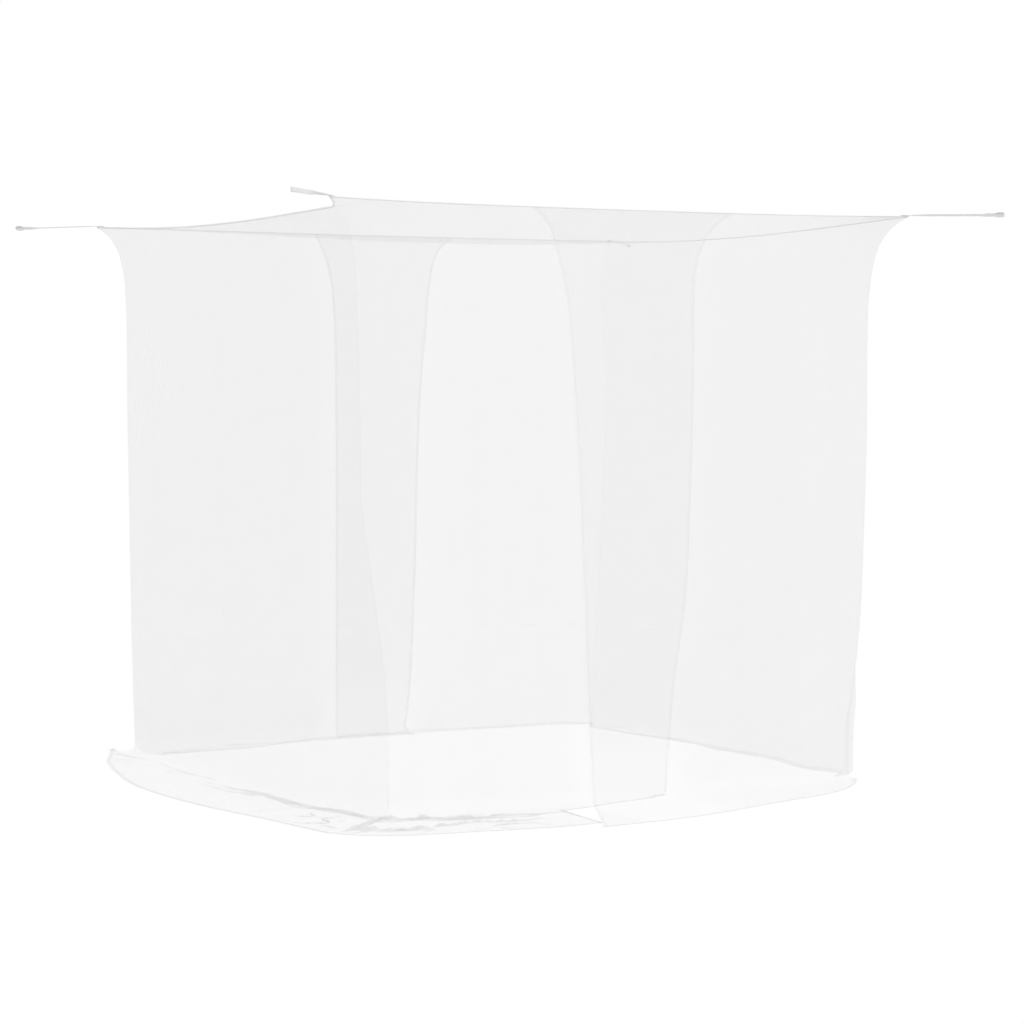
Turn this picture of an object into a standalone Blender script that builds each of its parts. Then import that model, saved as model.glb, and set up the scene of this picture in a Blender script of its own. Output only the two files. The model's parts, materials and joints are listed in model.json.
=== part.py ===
"""Hanging box mosquito net with a curtain opening in each long wall.

The net hangs by four tapes tied diagonally outwards from its roof corners. Its origin is the centre of the
four hanging eyes, in the plane of the tapes; +X runs along the long walls, +Z is up, and the floor lies
HANG_HEIGHT below. Every sheet of netting follows one rule: from the roof seam it falls inwards from the
pulled corners to a narrower box, reaches the floor, and what is left of its length lies on the floor.
"""

import math
from dataclasses import dataclass

import bmesh
import bpy
import numpy as np

# Size of the net as it hangs, from corner tip to corner tip and from roof to floor, in metres
LENGTH = 2.20
WIDTH = 2.00
HANG_HEIGHT = 1.94

# How far inside each corner tip the walls hang, along X and along Y
FRONT_LEFT_DRAW = (0.160, 0.100)
FRONT_RIGHT_DRAW = (0.120, 0.115)
BACK_RIGHT_DRAW = (0.120, 0.100)
BACK_LEFT_DRAW = (0.100, 0.100)

# How fast the cloth falls from the tip line to the wall line: a sharp part and a slow part
FLARE_SHARP_SHARE = 0.70
FLARE_SHARP = 0.062
FLARE_SLOW = 0.48

# Roof seams bow inwards in plan and sag between the corners, and the roof sags between the seams
LONG_SEAM_BOW = 0.065
END_SEAM_BOW = 0.070
LONG_SEAM_SAG = 0.006
END_SEAM_SAG = 0.030
SAG_FADE = 0.30
ROOF_SAG = 0.035

# Wall line at the floor, half way along each wall, from the net's centre plane
LONG_WALL_FOOT = 0.975
END_WALL_FOOT = 0.990

# Cloth and sewn edges. The netting is thicker than real, so that it is a solid
NET_T = 0.0010
HEM_T = 0.0016
HEM_W = 0.015
EDGE_HEM_W = 0.010
SEAM_TAPE_W = 0.010
CORNER_RIB = 0.004
SEWN_GAP = 0.0004
SEAM_CLEAR = 0.0009
RIB_CLEAR = 0.0010

# The two curtain layers, apart by their thickness at the seam and by LAYER_FOOT at the floor
LAYER_CLEAR = 0.0005
LAYER_TOP = (NET_T + HEM_T) / 2 + LAYER_CLEAR
LAYER_FOOT = 0.0100
SEAM_TAPE_T = LAYER_TOP + NET_T + SEWN_GAP

# Share of a long wall, about its middle, that hangs flat so that its curtains can fold
CURTAIN_FLAT = 0.52

# The fold of a curtain's free corner: where it starts, how far it turns, and the room it needs
APEX_DEPTH = 0.14
FOLD_ANGLE = math.radians(120)
FOLD_CLEAR = 0.0004
FOLD_GAP = HEM_T / 2 * math.tan(FOLD_ANGLE / 2) + FOLD_CLEAR
FOLD_SLANT = 1.15 / math.tan(math.pi - FOLD_ANGLE)
FOLD_TOP_GAP = 0.0007
SKIRT_CUT = 0.012
SKIRT_CUT_RUN = 0.012
FLAP_TOP_W = 0.006

# Free edge of each curtain at the seam, at the top of its fold and at the floor, and the fold's foot,
# all from the middle of the wall, to the right seen from outside
FRONT_OUTER_EDGE = (-0.361, -0.235, -0.150)
FRONT_OUTER_FOOT = 0.350
FRONT_INNER_EDGE = (0.440, 0.292, 0.150)
FRONT_INNER_FOOT = -0.365
BACK_OUTER_EDGE = (-0.356, -0.250, -0.160)
BACK_OUTER_FOOT = 0.360
BACK_INNER_EDGE = (0.255, 0.180, 0.149)
BACK_INNER_FOOT = -0.360

# Broad folds of the hanging cloth, away from the curtains and the corners
FOLD_DEPTH = 0.012
FOLD_PITCH = 0.50
FOLD_GROWTH = 0.60
FOLD_EDGE_SHARE = 0.15
FOLD_END_SHARE = 0.20

# Length of cloth on the floor, outwards, or inwards where negative, at shares of a wall from -1, its
# left corner, to 1. The skirts of the two walls at the front left corner meet in a mitre
FRONT_LEFT_SKIRT = 0.24
LEFT_END_SKIRT = ((-1.0, 0.14), (-0.18, 0.345), (0.55, 0.275), (1.0, FRONT_LEFT_SKIRT))
RIGHT_END_SKIRT = ((-1.0, -0.02), (0.0, -0.05), (0.55, -0.06), (1.0, -0.02))
FRONT_OUTER_SKIRT = ((-0.15, 0.44), (0.02, 0.40), (0.51, 0.25), (1.0, 0.12))
FRONT_INNER_SKIRT = ((-1.0, FRONT_LEFT_SKIRT), (-0.85, 0.33), (-0.70, 0.375), (-0.37, 0.375))
FRONT_INNER_FLAP_SKIRT = ((0.0, -0.035),)
BACK_OUTER_SKIRT = ((0.37, -0.01), (0.60, -0.05), (1.0, -0.12))
BACK_OUTER_FLAP_SKIRT = ((0.0, 0.02),)
BACK_INNER_SKIRT = ((0.0, -0.03),)

# The turn from wall to floor, and the low ripples of the cloth that lies there
FLOOR_BEND = 0.050
SHORT_BEND_SHARE = 0.6
RIPPLE_HEIGHT = 0.012
RIPPLE_PITCH = 0.36
RIPPLE_END_SHARE = 0.20

# Hanging tapes and their eyes
TAPE_LENGTH = 0.325
TAPE_W = 0.015
TAPE_T = 0.0014
TAPE_LAP = 0.028
TAPE_LIFT = 0.0008
LAP_FOLLOW = 0.6
TAPE_DOUBLED = 0.035
TWIST_START = 0.04
TWIST_LENGTH = 0.22
EYE_LENGTH = 0.030
EYE_WIDTH = 0.014
EYE_WALL = 0.0016
EYE_SQUARENESS = 2.6
EYE_SEATING = 0.4

# Where the points of each sheet lie: down the wall above and below the fold's top, as shares, round
# the turn at the floor, along the floor, and across each sheet
ROWS_ABOVE = (0.0, 0.13, 0.32, 0.61, 1.0)
ROWS_BELOW = (0.05, 0.15, 0.33, 0.55, 0.75, 0.92)
BEND_ROWS = (0.33, 0.67, 1.0)
FLOOR_ROWS = (0.35, 0.7, 1.0)
HALF_END_COLUMNS = (0.0, 0.025, 0.06, 0.11, 0.17, 0.235, 0.30, 0.365, 0.43, 0.5)
STANDING_COLUMNS = (0.0, 0.04, 0.10, 0.18, 0.28, 0.40, 0.54, 0.76, 1.0)
FLAP_COLUMNS = (0.0, 0.2, 0.4, 0.6, 0.8, 1.0)
HALF_SEAM_PLACES = (-0.995, -0.97, -0.93, -0.86, -0.76, -0.62, -0.45, -0.25)
ROOF_PLACES = (0.003, 0.025, 0.07, 0.14, 0.25, 0.38, 0.50, 0.62, 0.75, 0.86, 0.93, 0.975, 0.997)
TAPE_STATIONS = 13
EYE_POINTS = 16

NETTING_COLOUR = (0.93, 0.93, 0.93, 1.0)
HEM_COLOUR = (0.86, 0.86, 0.85, 1.0)
TAPE_COLOUR = (0.78, 0.78, 0.77, 1.0)

UP = np.array([0.0, 0.0, 1.0])
FLOOR = -HANG_HEIGHT
CLOTH_FLOOR = FLOOR + HEM_T / 2


@dataclass
class Corner:
    """One roof corner: the tip that is pulled out, and the wall line below it, in plan."""

    tip: np.ndarray
    body: np.ndarray

    def at(self, depth):
        sharp = FLARE_SHARP_SHARE * math.exp(-depth / FLARE_SHARP)
        slow = (1 - FLARE_SHARP_SHARE) * math.exp(-depth / FLARE_SLOW)
        return self.body + (self.tip - self.body) * (sharp + slow)

    @property
    def outwards(self):
        """The way the tape pulls: level, at 45 degrees to the walls."""
        return np.append(np.sign(self.tip), 0.0) / math.sqrt(2)


def corner(side_x, side_y, draw):
    tip = np.array([side_x * LENGTH / 2, side_y * WIDTH / 2])
    return Corner(tip, tip - np.array([side_x * draw[0], side_y * draw[1]]))


FRONT_LEFT = corner(-1, -1, FRONT_LEFT_DRAW)
FRONT_RIGHT = corner(1, -1, FRONT_RIGHT_DRAW)
BACK_RIGHT = corner(1, 1, BACK_RIGHT_DRAW)
BACK_LEFT = corner(-1, 1, BACK_LEFT_DRAW)


def smooth(x):
    x = min(max(x, 0.0), 1.0)
    return x * x * (3 - 2 * x)


@dataclass
class Wall:
    """One side of the box. A place on it is (a, z), where a runs left to right seen from outside."""

    left: Corner
    right: Corner
    along: np.ndarray
    out: np.ndarray
    bow: float
    sag: float
    foot: float
    flat: float

    def ends(self, z):
        """The wall's two upright edges at height z, each as (a, distance out)."""
        found = []
        for end in (self.left, self.right):
            plan = end.at(-min(z, 0.0))
            found.append((float(plan @ self.along), float(plan @ self.out)))
        return found

    def share(self, a, z):
        """-1 at the left edge, 0 half way, 1 at the right edge."""
        (left, _), (right, _) = self.ends(z)
        return (2 * a - left - right) / (right - left)

    def seam_z(self, a):
        t = self.share(a, 0.0)
        return -self.sag * max(0.0, 1 - t * t)

    def on_seam(self, t, drop=0.0):
        """A point of the roof seam, or of the wall just below it, t from -1 to 1."""
        (left, _), (right, _) = self.ends(0.0)
        z = self.seam_z((left + right) / 2 + t * (right - left) / 2) - drop
        (left, _), (right, _) = self.ends(z)
        a = (left + right) / 2 + t * (right - left) / 2
        return self.place(a, self.distance(a, z), z)

    def distance(self, a, z, layer=0):
        """How far out of the net's centre plane the cloth lies. layer is 1 outside, -1 inside."""
        (_, out_left), (_, out_right) = self.ends(z)
        t = self.share(a, z)
        straight = out_left + (out_right - out_left) * (t + 1) / 2
        down = min(-z / HANG_HEIGHT, 1.0)
        seam = float(self.left.tip @ self.out) - self.bow
        middle = seam + (self.foot - seam) * down
        middle += layer * (LAYER_TOP + (LAYER_FOOT - LAYER_TOP) * down) / 2
        edge = max((abs(t) - self.flat) / (1 - self.flat), 0.0) ** 2
        return middle + (straight - middle) * edge + self.fold(a, z, t)

    def fold(self, a, z, t):
        away = smooth((abs(t) - self.flat) / FOLD_EDGE_SHARE) if self.flat else 1.0
        held = smooth((1 - abs(t)) / FOLD_END_SHARE)
        grown = smooth((-z - APEX_DEPTH) / FOLD_GROWTH)
        return FOLD_DEPTH * away * held * grown * math.sin(2 * math.pi * a / FOLD_PITCH)

    def place(self, a, out, z):
        plan = self.along * a + self.out * out
        return np.array([plan[0], plan[1], z])

    def skirt(self, knots):
        """The length of cloth on the floor as a rule of a."""
        places = [knot[0] for knot in knots]
        lengths = [knot[1] for knot in knots]
        return lambda a: float(np.interp(self.share(a, FLOOR), places, lengths))

    def beside_rib(self, end):
        """The edge of the cloth next to its corner rib. end is 0 at the left corner, 1 at the right."""
        inset = CORNER_RIB / 2 / math.sqrt(2) + RIB_CLEAR
        return lambda z, run: self.ends(z)[end][0] + (-inset if end else inset)


def long_wall(left, right, along, out):
    return Wall(left, right, np.array(along), np.array(out), LONG_SEAM_BOW, LONG_SEAM_SAG, LONG_WALL_FOOT,
                CURTAIN_FLAT)


def end_wall(left, right, along, out):
    return Wall(left, right, np.array(along), np.array(out), END_SEAM_BOW, END_SEAM_SAG, END_WALL_FOOT, 0.0)


FRONT = long_wall(FRONT_LEFT, FRONT_RIGHT, (1, 0), (0, -1))
RIGHT = end_wall(FRONT_RIGHT, BACK_RIGHT, (0, 1), (1, 0))
BACK = long_wall(BACK_RIGHT, BACK_LEFT, (-1, 0), (0, 1))
LEFT = end_wall(BACK_LEFT, FRONT_LEFT, (0, -1), (-1, 0))


@dataclass
class Curtain:
    """Half of a long wall. Its free edge overlaps the other half, and its lower corner folds back.

    side is -1 for the outer curtain, whose free edge is on the left, and 1 for the inner one.
    """

    wall: Wall
    side: int
    free: tuple
    fold_foot: float

    @property
    def layer(self):
        return -self.side

    def free_edge(self, z, run=0.0):
        seam, apex, floor = self.free
        depth = -z
        if depth < APEX_DEPTH:
            up = 1 - depth / APEX_DEPTH
            return apex + (seam - apex) * up * up
        return apex + (floor - apex) * (depth - APEX_DEPTH) / (HANG_HEIGHT - APEX_DEPTH)

    def edge_hem_side(self, z, run=0.0):
        """The inner side of the hem along the free edge."""
        return self.free_edge(z) - self.side * EDGE_HEM_W

    def net_side(self, z, run=0.0):
        """Where the netting ends beside that hem."""
        return self.edge_hem_side(z) - self.side * SEWN_GAP

    def fold_line(self, z):
        top = self.free[1] - self.side * (EDGE_HEM_W + FOLD_GAP)
        down = (-z - APEX_DEPTH) / (HANG_HEIGHT - APEX_DEPTH)
        return top + (self.fold_foot - top) * down

    def flap_edge(self, z, run):
        """The flap's side of the fold. On the floor it slants away, to clear the wall when it turns."""
        cut = SKIRT_CUT * min(abs(run) / SKIRT_CUT_RUN, 1.0)
        return self.fold_line(z) + self.side * (FOLD_GAP + FOLD_SLANT * abs(run) + cut)

    def standing_edge(self, z, run, slanted):
        """The standing cloth's side of the fold, or of the hem above it."""
        if -z < APEX_DEPTH * (1 - 1e-6):
            return self.net_side(z)
        slant = FOLD_SLANT * abs(run) if slanted else 0.0
        return self.fold_line(z) - self.side * (FOLD_GAP - slant)

    def flap_net_top(self):
        """The height at which the flap is wide enough for netting beside its hem."""
        high = -APEX_DEPTH
        wide_high = abs(self.free_edge(high) - self.fold_line(high))
        wide_low = abs(self.free_edge(FLOOR) - self.fold_line(FLOOR))
        wanted = EDGE_HEM_W + SEWN_GAP + FOLD_GAP + FLAP_TOP_W
        return high + (FLOOR - high) * (wanted - wide_high) / (wide_low - wide_high)


FRONT_OUTER = Curtain(FRONT, -1, FRONT_OUTER_EDGE, FRONT_OUTER_FOOT)
FRONT_INNER = Curtain(FRONT, 1, FRONT_INNER_EDGE, FRONT_INNER_FOOT)
BACK_OUTER = Curtain(BACK, -1, BACK_OUTER_EDGE, BACK_OUTER_FOOT)
BACK_INNER = Curtain(BACK, 1, BACK_INNER_EDGE, BACK_INNER_FOOT)


def row_depths():
    above = [APEX_DEPTH * share for share in ROWS_ABOVE]
    return above + [APEX_DEPTH + (HANG_HEIGHT - APEX_DEPTH) * share for share in ROWS_BELOW]


def bend_radius(length):
    return min(FLOOR_BEND, SHORT_BEND_SHARE * abs(length))


def on_floor(a, length, s, ripple):
    """(run out of the wall, height) of the cloth, s metres along it from where it leaves the wall."""
    radius = bend_radius(length)
    side = 1 if length > 0 else -1
    quarter = radius * math.pi / 2
    if s <= quarter:
        turn = s / radius
        return side * radius * (1 - math.cos(turn)), CLOTH_FLOOR + radius * (1 - math.sin(turn))
    flat = s - quarter
    swell = math.sin(math.pi * min(flat / (abs(length) - quarter), 1.0))
    wave = 0.5 - 0.5 * math.cos(2 * math.pi * a / RIPPLE_PITCH)
    return side * (radius + flat), CLOTH_FLOOR + ripple * swell * wave


@dataclass
class Cloth:
    """A piece of wall between two edges, each a rule giving a from the height and the run on the floor.

    mitre gives how far each edge moves sideways for each metre of run, where two skirts meet.
    """

    wall: Wall
    left: object
    right: object
    skirt: object
    columns: tuple
    layer: int = 0
    mitre: tuple = (0.0, 0.0)
    ripple: float = 0.0

    def across(self, z, run):
        """a of each column at one height and run."""
        left = self.left(z, run)
        right = self.right(z, run)
        return [left * (1 - c) + right * c for c in self.columns]

    def row(self, heights, runs):
        feet = self.across(FLOOR, 0.0)
        points = []
        for k, c in enumerate(self.columns):
            a = self.across(heights[k], runs[k])[k]
            a += (self.mitre[1] * c ** 3 - self.mitre[0] * (1 - c) ** 3) * abs(runs[k])
            out = self.wall.distance(a if runs[k] == 0 else feet[k], heights[k], self.layer)
            points.append(self.wall.place(a, out + runs[k], heights[k]))
        return points

    def level_row(self, height):
        return self.row([height] * len(self.columns), [0.0] * len(self.columns))

    def from_seam(self):
        """Rows from the roof seam down to the lowest one above the turn at the floor."""
        starts = self.across(0.0, 0.0)
        rows = []
        for depth in row_depths():
            fade = math.exp(-depth / SAG_FADE)
            heights = [(self.wall.seam_z(a) - SEAM_TAPE_W - SEAM_CLEAR) * fade - depth for a in starts]
            rows.append(self.row(heights, [0.0] * len(starts)))
        return rows

    def from_height(self, top):
        """Rows from a level top edge down to the same place."""
        lower = [-depth for depth in row_depths() if -depth < top - FLAP_TOP_W]
        return [self.level_row(z) for z in [top] + lower]

    def turn(self):
        """Rows round the turn at the floor and along it to the hem."""
        feet = self.across(FLOOR, 0.0)
        radii = [bend_radius(self.skirt(a)) for a in feet]
        rows = [self.row([CLOTH_FLOOR + radius for radius in radii], [0.0] * len(feet))]
        for share in BEND_ROWS:
            rows.append(self.floor_row([radius * math.pi / 2 * share for radius in radii]))
        for share in FLOOR_ROWS:
            stops = []
            for a, radius in zip(feet, radii):
                quarter = radius * math.pi / 2
                stops.append(quarter + (abs(self.skirt(a)) - quarter) * share)
            rows.append(self.floor_row(stops))
        return rows

    def floor_row(self, stops):
        places = []
        for a, s in zip(self.across(FLOOR, 0.0), stops):
            held = smooth((1 - abs(self.wall.share(a, FLOOR))) / RIPPLE_END_SHARE)
            places.append(on_floor(a, self.skirt(a), s, self.ripple * held))
        return self.row([z for _, z in places], [run for run, _ in places])

    def hem_row(self, beyond):
        feet = self.across(FLOOR, 0.0)
        return self.floor_row([abs(self.skirt(a)) + beyond for a in feet])


def material(name, colour, roughness):
    made = bpy.data.materials.new(name)
    made.use_nodes = True
    shader = made.node_tree.nodes["Principled BSDF"]
    shader.inputs["Base Color"].default_value = colour
    shader.inputs["Roughness"].default_value = roughness
    shader.inputs["Metallic"].default_value = 0.0
    return made


def closed_object(name, points, faces, finish):
    mesh = bpy.data.meshes.new(name)
    mesh.from_pydata([tuple(map(float, point)) for point in points], [], faces)
    work = bmesh.new()
    work.from_mesh(mesh)
    bmesh.ops.recalc_face_normals(work, faces=work.faces)
    work.to_mesh(mesh)
    work.free()
    mesh.shade_smooth()
    mesh.set_sharp_from_angle(angle=math.radians(40))
    mesh.materials.append(finish)
    made = bpy.data.objects.new(name, mesh)
    bpy.context.collection.objects.link(made)
    return made


def two_triangles(a, b, c, d, turned=False):
    """A four-sided face cut along a to c or, turned, along b to d. Both sides of thin cloth are cut alike."""
    return [(a, b, d), (b, c, d)] if turned else [(a, b, c), (a, c, d)]


def sheet(name, rows, thickness, finish):
    """A closed thin solid about a grid of centre points."""
    grid = np.array(rows, float)
    normal = np.cross(np.gradient(grid, axis=1), np.gradient(grid, axis=0))
    normal /= np.linalg.norm(normal, axis=2, keepdims=True)
    height, width = grid.shape[:2]
    one = (grid + normal * thickness / 2).reshape(-1, 3)
    other = (grid - normal * thickness / 2).reshape(-1, 3)
    count = height * width
    faces = []
    for i in range(height - 1):
        for j in range(width - 1):
            p = i * width + j
            for face in two_triangles(p, p + 1, p + width + 1, p + width):
                faces.append(face)
                faces.append(tuple(count + k for k in reversed(face)))
    rim = list(range(width))
    rim += [i * width + width - 1 for i in range(1, height)]
    rim += [(height - 1) * width + j for j in range(width - 2, -1, -1)]
    rim += [i * width for i in range(height - 2, 0, -1)]
    for here, after in zip(rim, rim[1:] + rim[:1]):
        faces.append((here, count + here, count + after, after))
    return closed_object(name, np.concatenate([one, other]), faces, finish)


def bar(name, rings, finish):
    """A closed bar through rings of points, capped at both ends."""
    count = len(rings[0])
    points = [point for ring in rings for point in ring]
    faces = []
    for i in range(len(rings) - 1):
        for j in range(count):
            here = i * count + j
            beside = i * count + (j + 1) % count
            faces += two_triangles(here, beside, beside + count, here + count, turned=j >= count / 2)
    last = (len(rings) - 1) * count
    faces.append(tuple(reversed(range(count))))
    faces.append(tuple(range(last, last + count)))
    return closed_object(name, points, faces, finish)


def make_hem(name, cloth, finish):
    sheet(name, [cloth.hem_row(SEWN_GAP), cloth.hem_row(SEWN_GAP + HEM_W)], HEM_T, finish)


def make_end_wall(name, wall, knots, mitre, ripple, net, hem):
    columns = HALF_END_COLUMNS + tuple(1 - c for c in reversed(HALF_END_COLUMNS[:-1]))
    cloth = Cloth(wall, wall.beside_rib(0), wall.beside_rib(1), wall.skirt(knots), columns, mitre=mitre,
                  ripple=ripple)
    sheet(name + "_wall", cloth.from_seam() + cloth.turn(), NET_T, net)
    make_hem(name + "_hem", cloth, hem)


def make_standing_half(name, curtain, knots, mitre, ripple, slanted, net, hem):
    """The part of a curtain that stays up, from its corner rib to the fold."""
    wall = curtain.wall

    def fold(z, run):
        return curtain.standing_edge(z, run, slanted)

    if curtain.side < 0:
        edges = (fold, wall.beside_rib(1))
        columns = tuple(1 - c for c in reversed(STANDING_COLUMNS))
    else:
        edges = (wall.beside_rib(0), fold)
        columns = STANDING_COLUMNS
    cloth = Cloth(wall, *edges, wall.skirt(knots), columns, curtain.layer, mitre, ripple)
    sheet(name + "_panel", cloth.from_seam() + cloth.turn(), NET_T, net)
    make_hem(name + "_hem", cloth, hem)


def make_flap(name, curtain, knots, net, hem):
    """The free corner of a curtain, which folds back, with the hems along its side and its foot."""
    wall = curtain.wall

    def piece(first, second, columns):
        edges = (first, second) if curtain.side < 0 else (second, first)
        return Cloth(wall, *edges, wall.skirt(knots), columns, curtain.layer)

    cloth = piece(curtain.net_side, curtain.flap_edge, FLAP_COLUMNS)
    sheet(name + "_flap", cloth.from_height(curtain.flap_net_top()) + cloth.turn(), NET_T, net)
    make_hem(name + "_flap_hem", cloth, hem)

    strip = piece(curtain.free_edge, curtain.edge_hem_side, (0.0, 1.0))
    rows = strip.from_height(-APEX_DEPTH) + strip.turn() + [strip.hem_row(SEWN_GAP + HEM_W)]
    sheet(name + "_edge_hem", rows, HEM_T, hem)

    seam = wall.seam_z(curtain.free_edge(0.0)) - SEAM_TAPE_W - SEAM_CLEAR
    upper = []
    for share in ROWS_ABOVE:
        depth = APEX_DEPTH * share
        z = seam * math.exp(-depth / SAG_FADE) - depth
        upper.append(strip.level_row(max(z, -APEX_DEPTH + FOLD_TOP_GAP)))
    sheet(name + "_edge_hem_top", upper, HEM_T, hem)


def make_roof_seam(name, wall, finish):
    """The binding tape along a roof seam, from near one tip to near the other."""
    places = HALF_SEAM_PLACES + (0.0,) + tuple(-t for t in reversed(HALF_SEAM_PLACES))
    rows = [[wall.on_seam(t, drop) for t in places] for drop in (0.0, SEAM_TAPE_W)]
    sheet(name, rows, SEAM_TAPE_T, finish)


def make_corner_rib(name, end, length, mitred, finish):
    """The rib where two walls are sewn together, from below the tip to the floor, and along the mitre."""
    line = []
    for depth in row_depths():
        down = depth + SEAM_TAPE_W * math.exp(-depth / SAG_FADE)
        line.append(np.append(end.at(down), -down))
    line.append(np.append(end.at(HANG_HEIGHT), CLOTH_FLOOR + bend_radius(length)))
    if mitred:
        quarter = bend_radius(length) * math.pi / 2
        stops = [quarter * share for share in BEND_ROWS]
        stops += [quarter + (length - quarter) * share for share in FLOOR_ROWS]
        for s in stops:
            run, z = on_floor(0.0, length, s, 0.0)
            line.append(np.append(end.at(HANG_HEIGHT) + np.sign(end.tip) * run, z + CORNER_RIB / 2))
    line = np.array(line)
    sideways = np.cross(UP, end.outwards)
    steps = np.gradient(line, axis=0)
    steps /= np.linalg.norm(steps, axis=1, keepdims=True)
    half = CORNER_RIB / 2
    rings = []
    for centre, step in zip(line, steps):
        front = np.cross(sideways, step)
        rings.append([centre + front * half, centre + sideways * half, centre - front * half,
                      centre - sideways * half])
    bar(name, rings, finish)


def roof_point(u, v):
    """The roof stretched between its four seams, u along X and v along Y, 0 to 1, with its own sag."""
    across = (1 - v) * FRONT.on_seam(2 * u - 1) + v * BACK.on_seam(1 - 2 * u)
    along = (1 - u) * LEFT.on_seam(1 - 2 * v) + u * RIGHT.on_seam(2 * v - 1)
    front = (1 - u) * FRONT_LEFT.tip + u * FRONT_RIGHT.tip
    back = (1 - u) * BACK_LEFT.tip + u * BACK_RIGHT.tip
    tips = np.append((1 - v) * front + v * back, 0.0)
    return across + along - tips - UP * ROOF_SAG * 16 * u * (1 - u) * v * (1 - v)


def make_roof(net):
    lift = UP * (SEWN_GAP + NET_T / 2)
    rows = [[roof_point(u, v) + lift for u in ROOF_PLACES] for v in ROOF_PLACES]
    sheet("roof_panel", rows, NET_T, net)


def tape_stations(end):
    """(distance beyond the tip, centre) along a hanging tape, from its sewn end on the roof to its eye."""
    tip = np.append(end.tip, 0.0)
    above = SEWN_GAP + NET_T + TAPE_LIFT + TAPE_T / 2
    stations = []
    for inside in (TAPE_LAP, TAPE_LAP / 2):
        share = inside / math.sqrt(2)
        u = share / LENGTH if end.tip[0] < 0 else 1 - share / LENGTH
        v = share / WIDTH if end.tip[1] < 0 else 1 - share / WIDTH
        height = roof_point(u, v)[2] * LAP_FOLLOW + above
        stations.append((-inside, tip - end.outwards * inside + UP * height))
    reach = TAPE_LENGTH - EYE_LENGTH - EYE_WALL * EYE_SEATING
    for s in np.linspace(0.0, reach, TAPE_STATIONS):
        height = above * (1 - smooth(s / reach))
        stations.append((s, tip + end.outwards * s + UP * height))
    return stations


def eye_outline(middle, outwards, across, grow):
    """A squared oval about the eye's opening, with a flat at its outer end."""
    power = 2 / EYE_SQUARENESS
    ring = []
    for k in range(EYE_POINTS):
        angle = 2 * math.pi * (k + 0.5) / EYE_POINTS
        x = math.copysign(abs(math.cos(angle)) ** power, math.cos(angle)) * (EYE_LENGTH / 2 + grow)
        y = math.copysign(abs(math.sin(angle)) ** power, math.sin(angle)) * (EYE_WIDTH / 2 + grow)
        ring.append(middle + outwards * x + across * y)
    return ring


def make_tape(name, end, finish):
    """A flat tape sewn on the corner, twisted a quarter turn, its end folded back and sewn into an eye."""
    across = np.cross(UP, end.outwards)
    doubled = TAPE_LENGTH - EYE_LENGTH - TAPE_DOUBLED
    rings = []
    for s, centre in tape_stations(end):
        turn = math.pi / 2 * smooth((s - TWIST_START) / TWIST_LENGTH)
        wide = (across * math.cos(turn) + UP * math.sin(turn)) * TAPE_W / 2
        thick = (UP * math.cos(turn) - across * math.sin(turn)) * TAPE_T / 2
        if s >= doubled:
            thick = thick * 2
        rings.append([centre - wide - thick, centre + wide - thick, centre + wide + thick,
                      centre - wide + thick])
    strap = bar(name, rings, finish)

    middle = np.append(end.tip, 0.0) + end.outwards * (TAPE_LENGTH - EYE_LENGTH / 2)
    points = []
    for level in (-TAPE_W / 2, TAPE_W / 2):
        for grow in (0.0, EYE_WALL):
            ring = eye_outline(middle, end.outwards, across, grow)
            points += [point + UP * level for point in ring]
    n = EYE_POINTS
    faces = []
    for k in range(n):
        m = (k + 1) % n
        faces.append((k, m, n + m, n + k))
        faces.append((2 * n + k, 3 * n + k, 3 * n + m, 2 * n + m))
        faces.append((k, 2 * n + k, 2 * n + m, m))
        faces.append((n + k, n + m, 3 * n + m, 3 * n + k))
    eye = closed_object(name + "_eye_shape", points, faces, finish)
    eye.hide_render = True
    eye.display_type = "WIRE"
    union = strap.modifiers.new("eye", "BOOLEAN")
    union.operation = "UNION"
    union.object = eye


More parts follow.
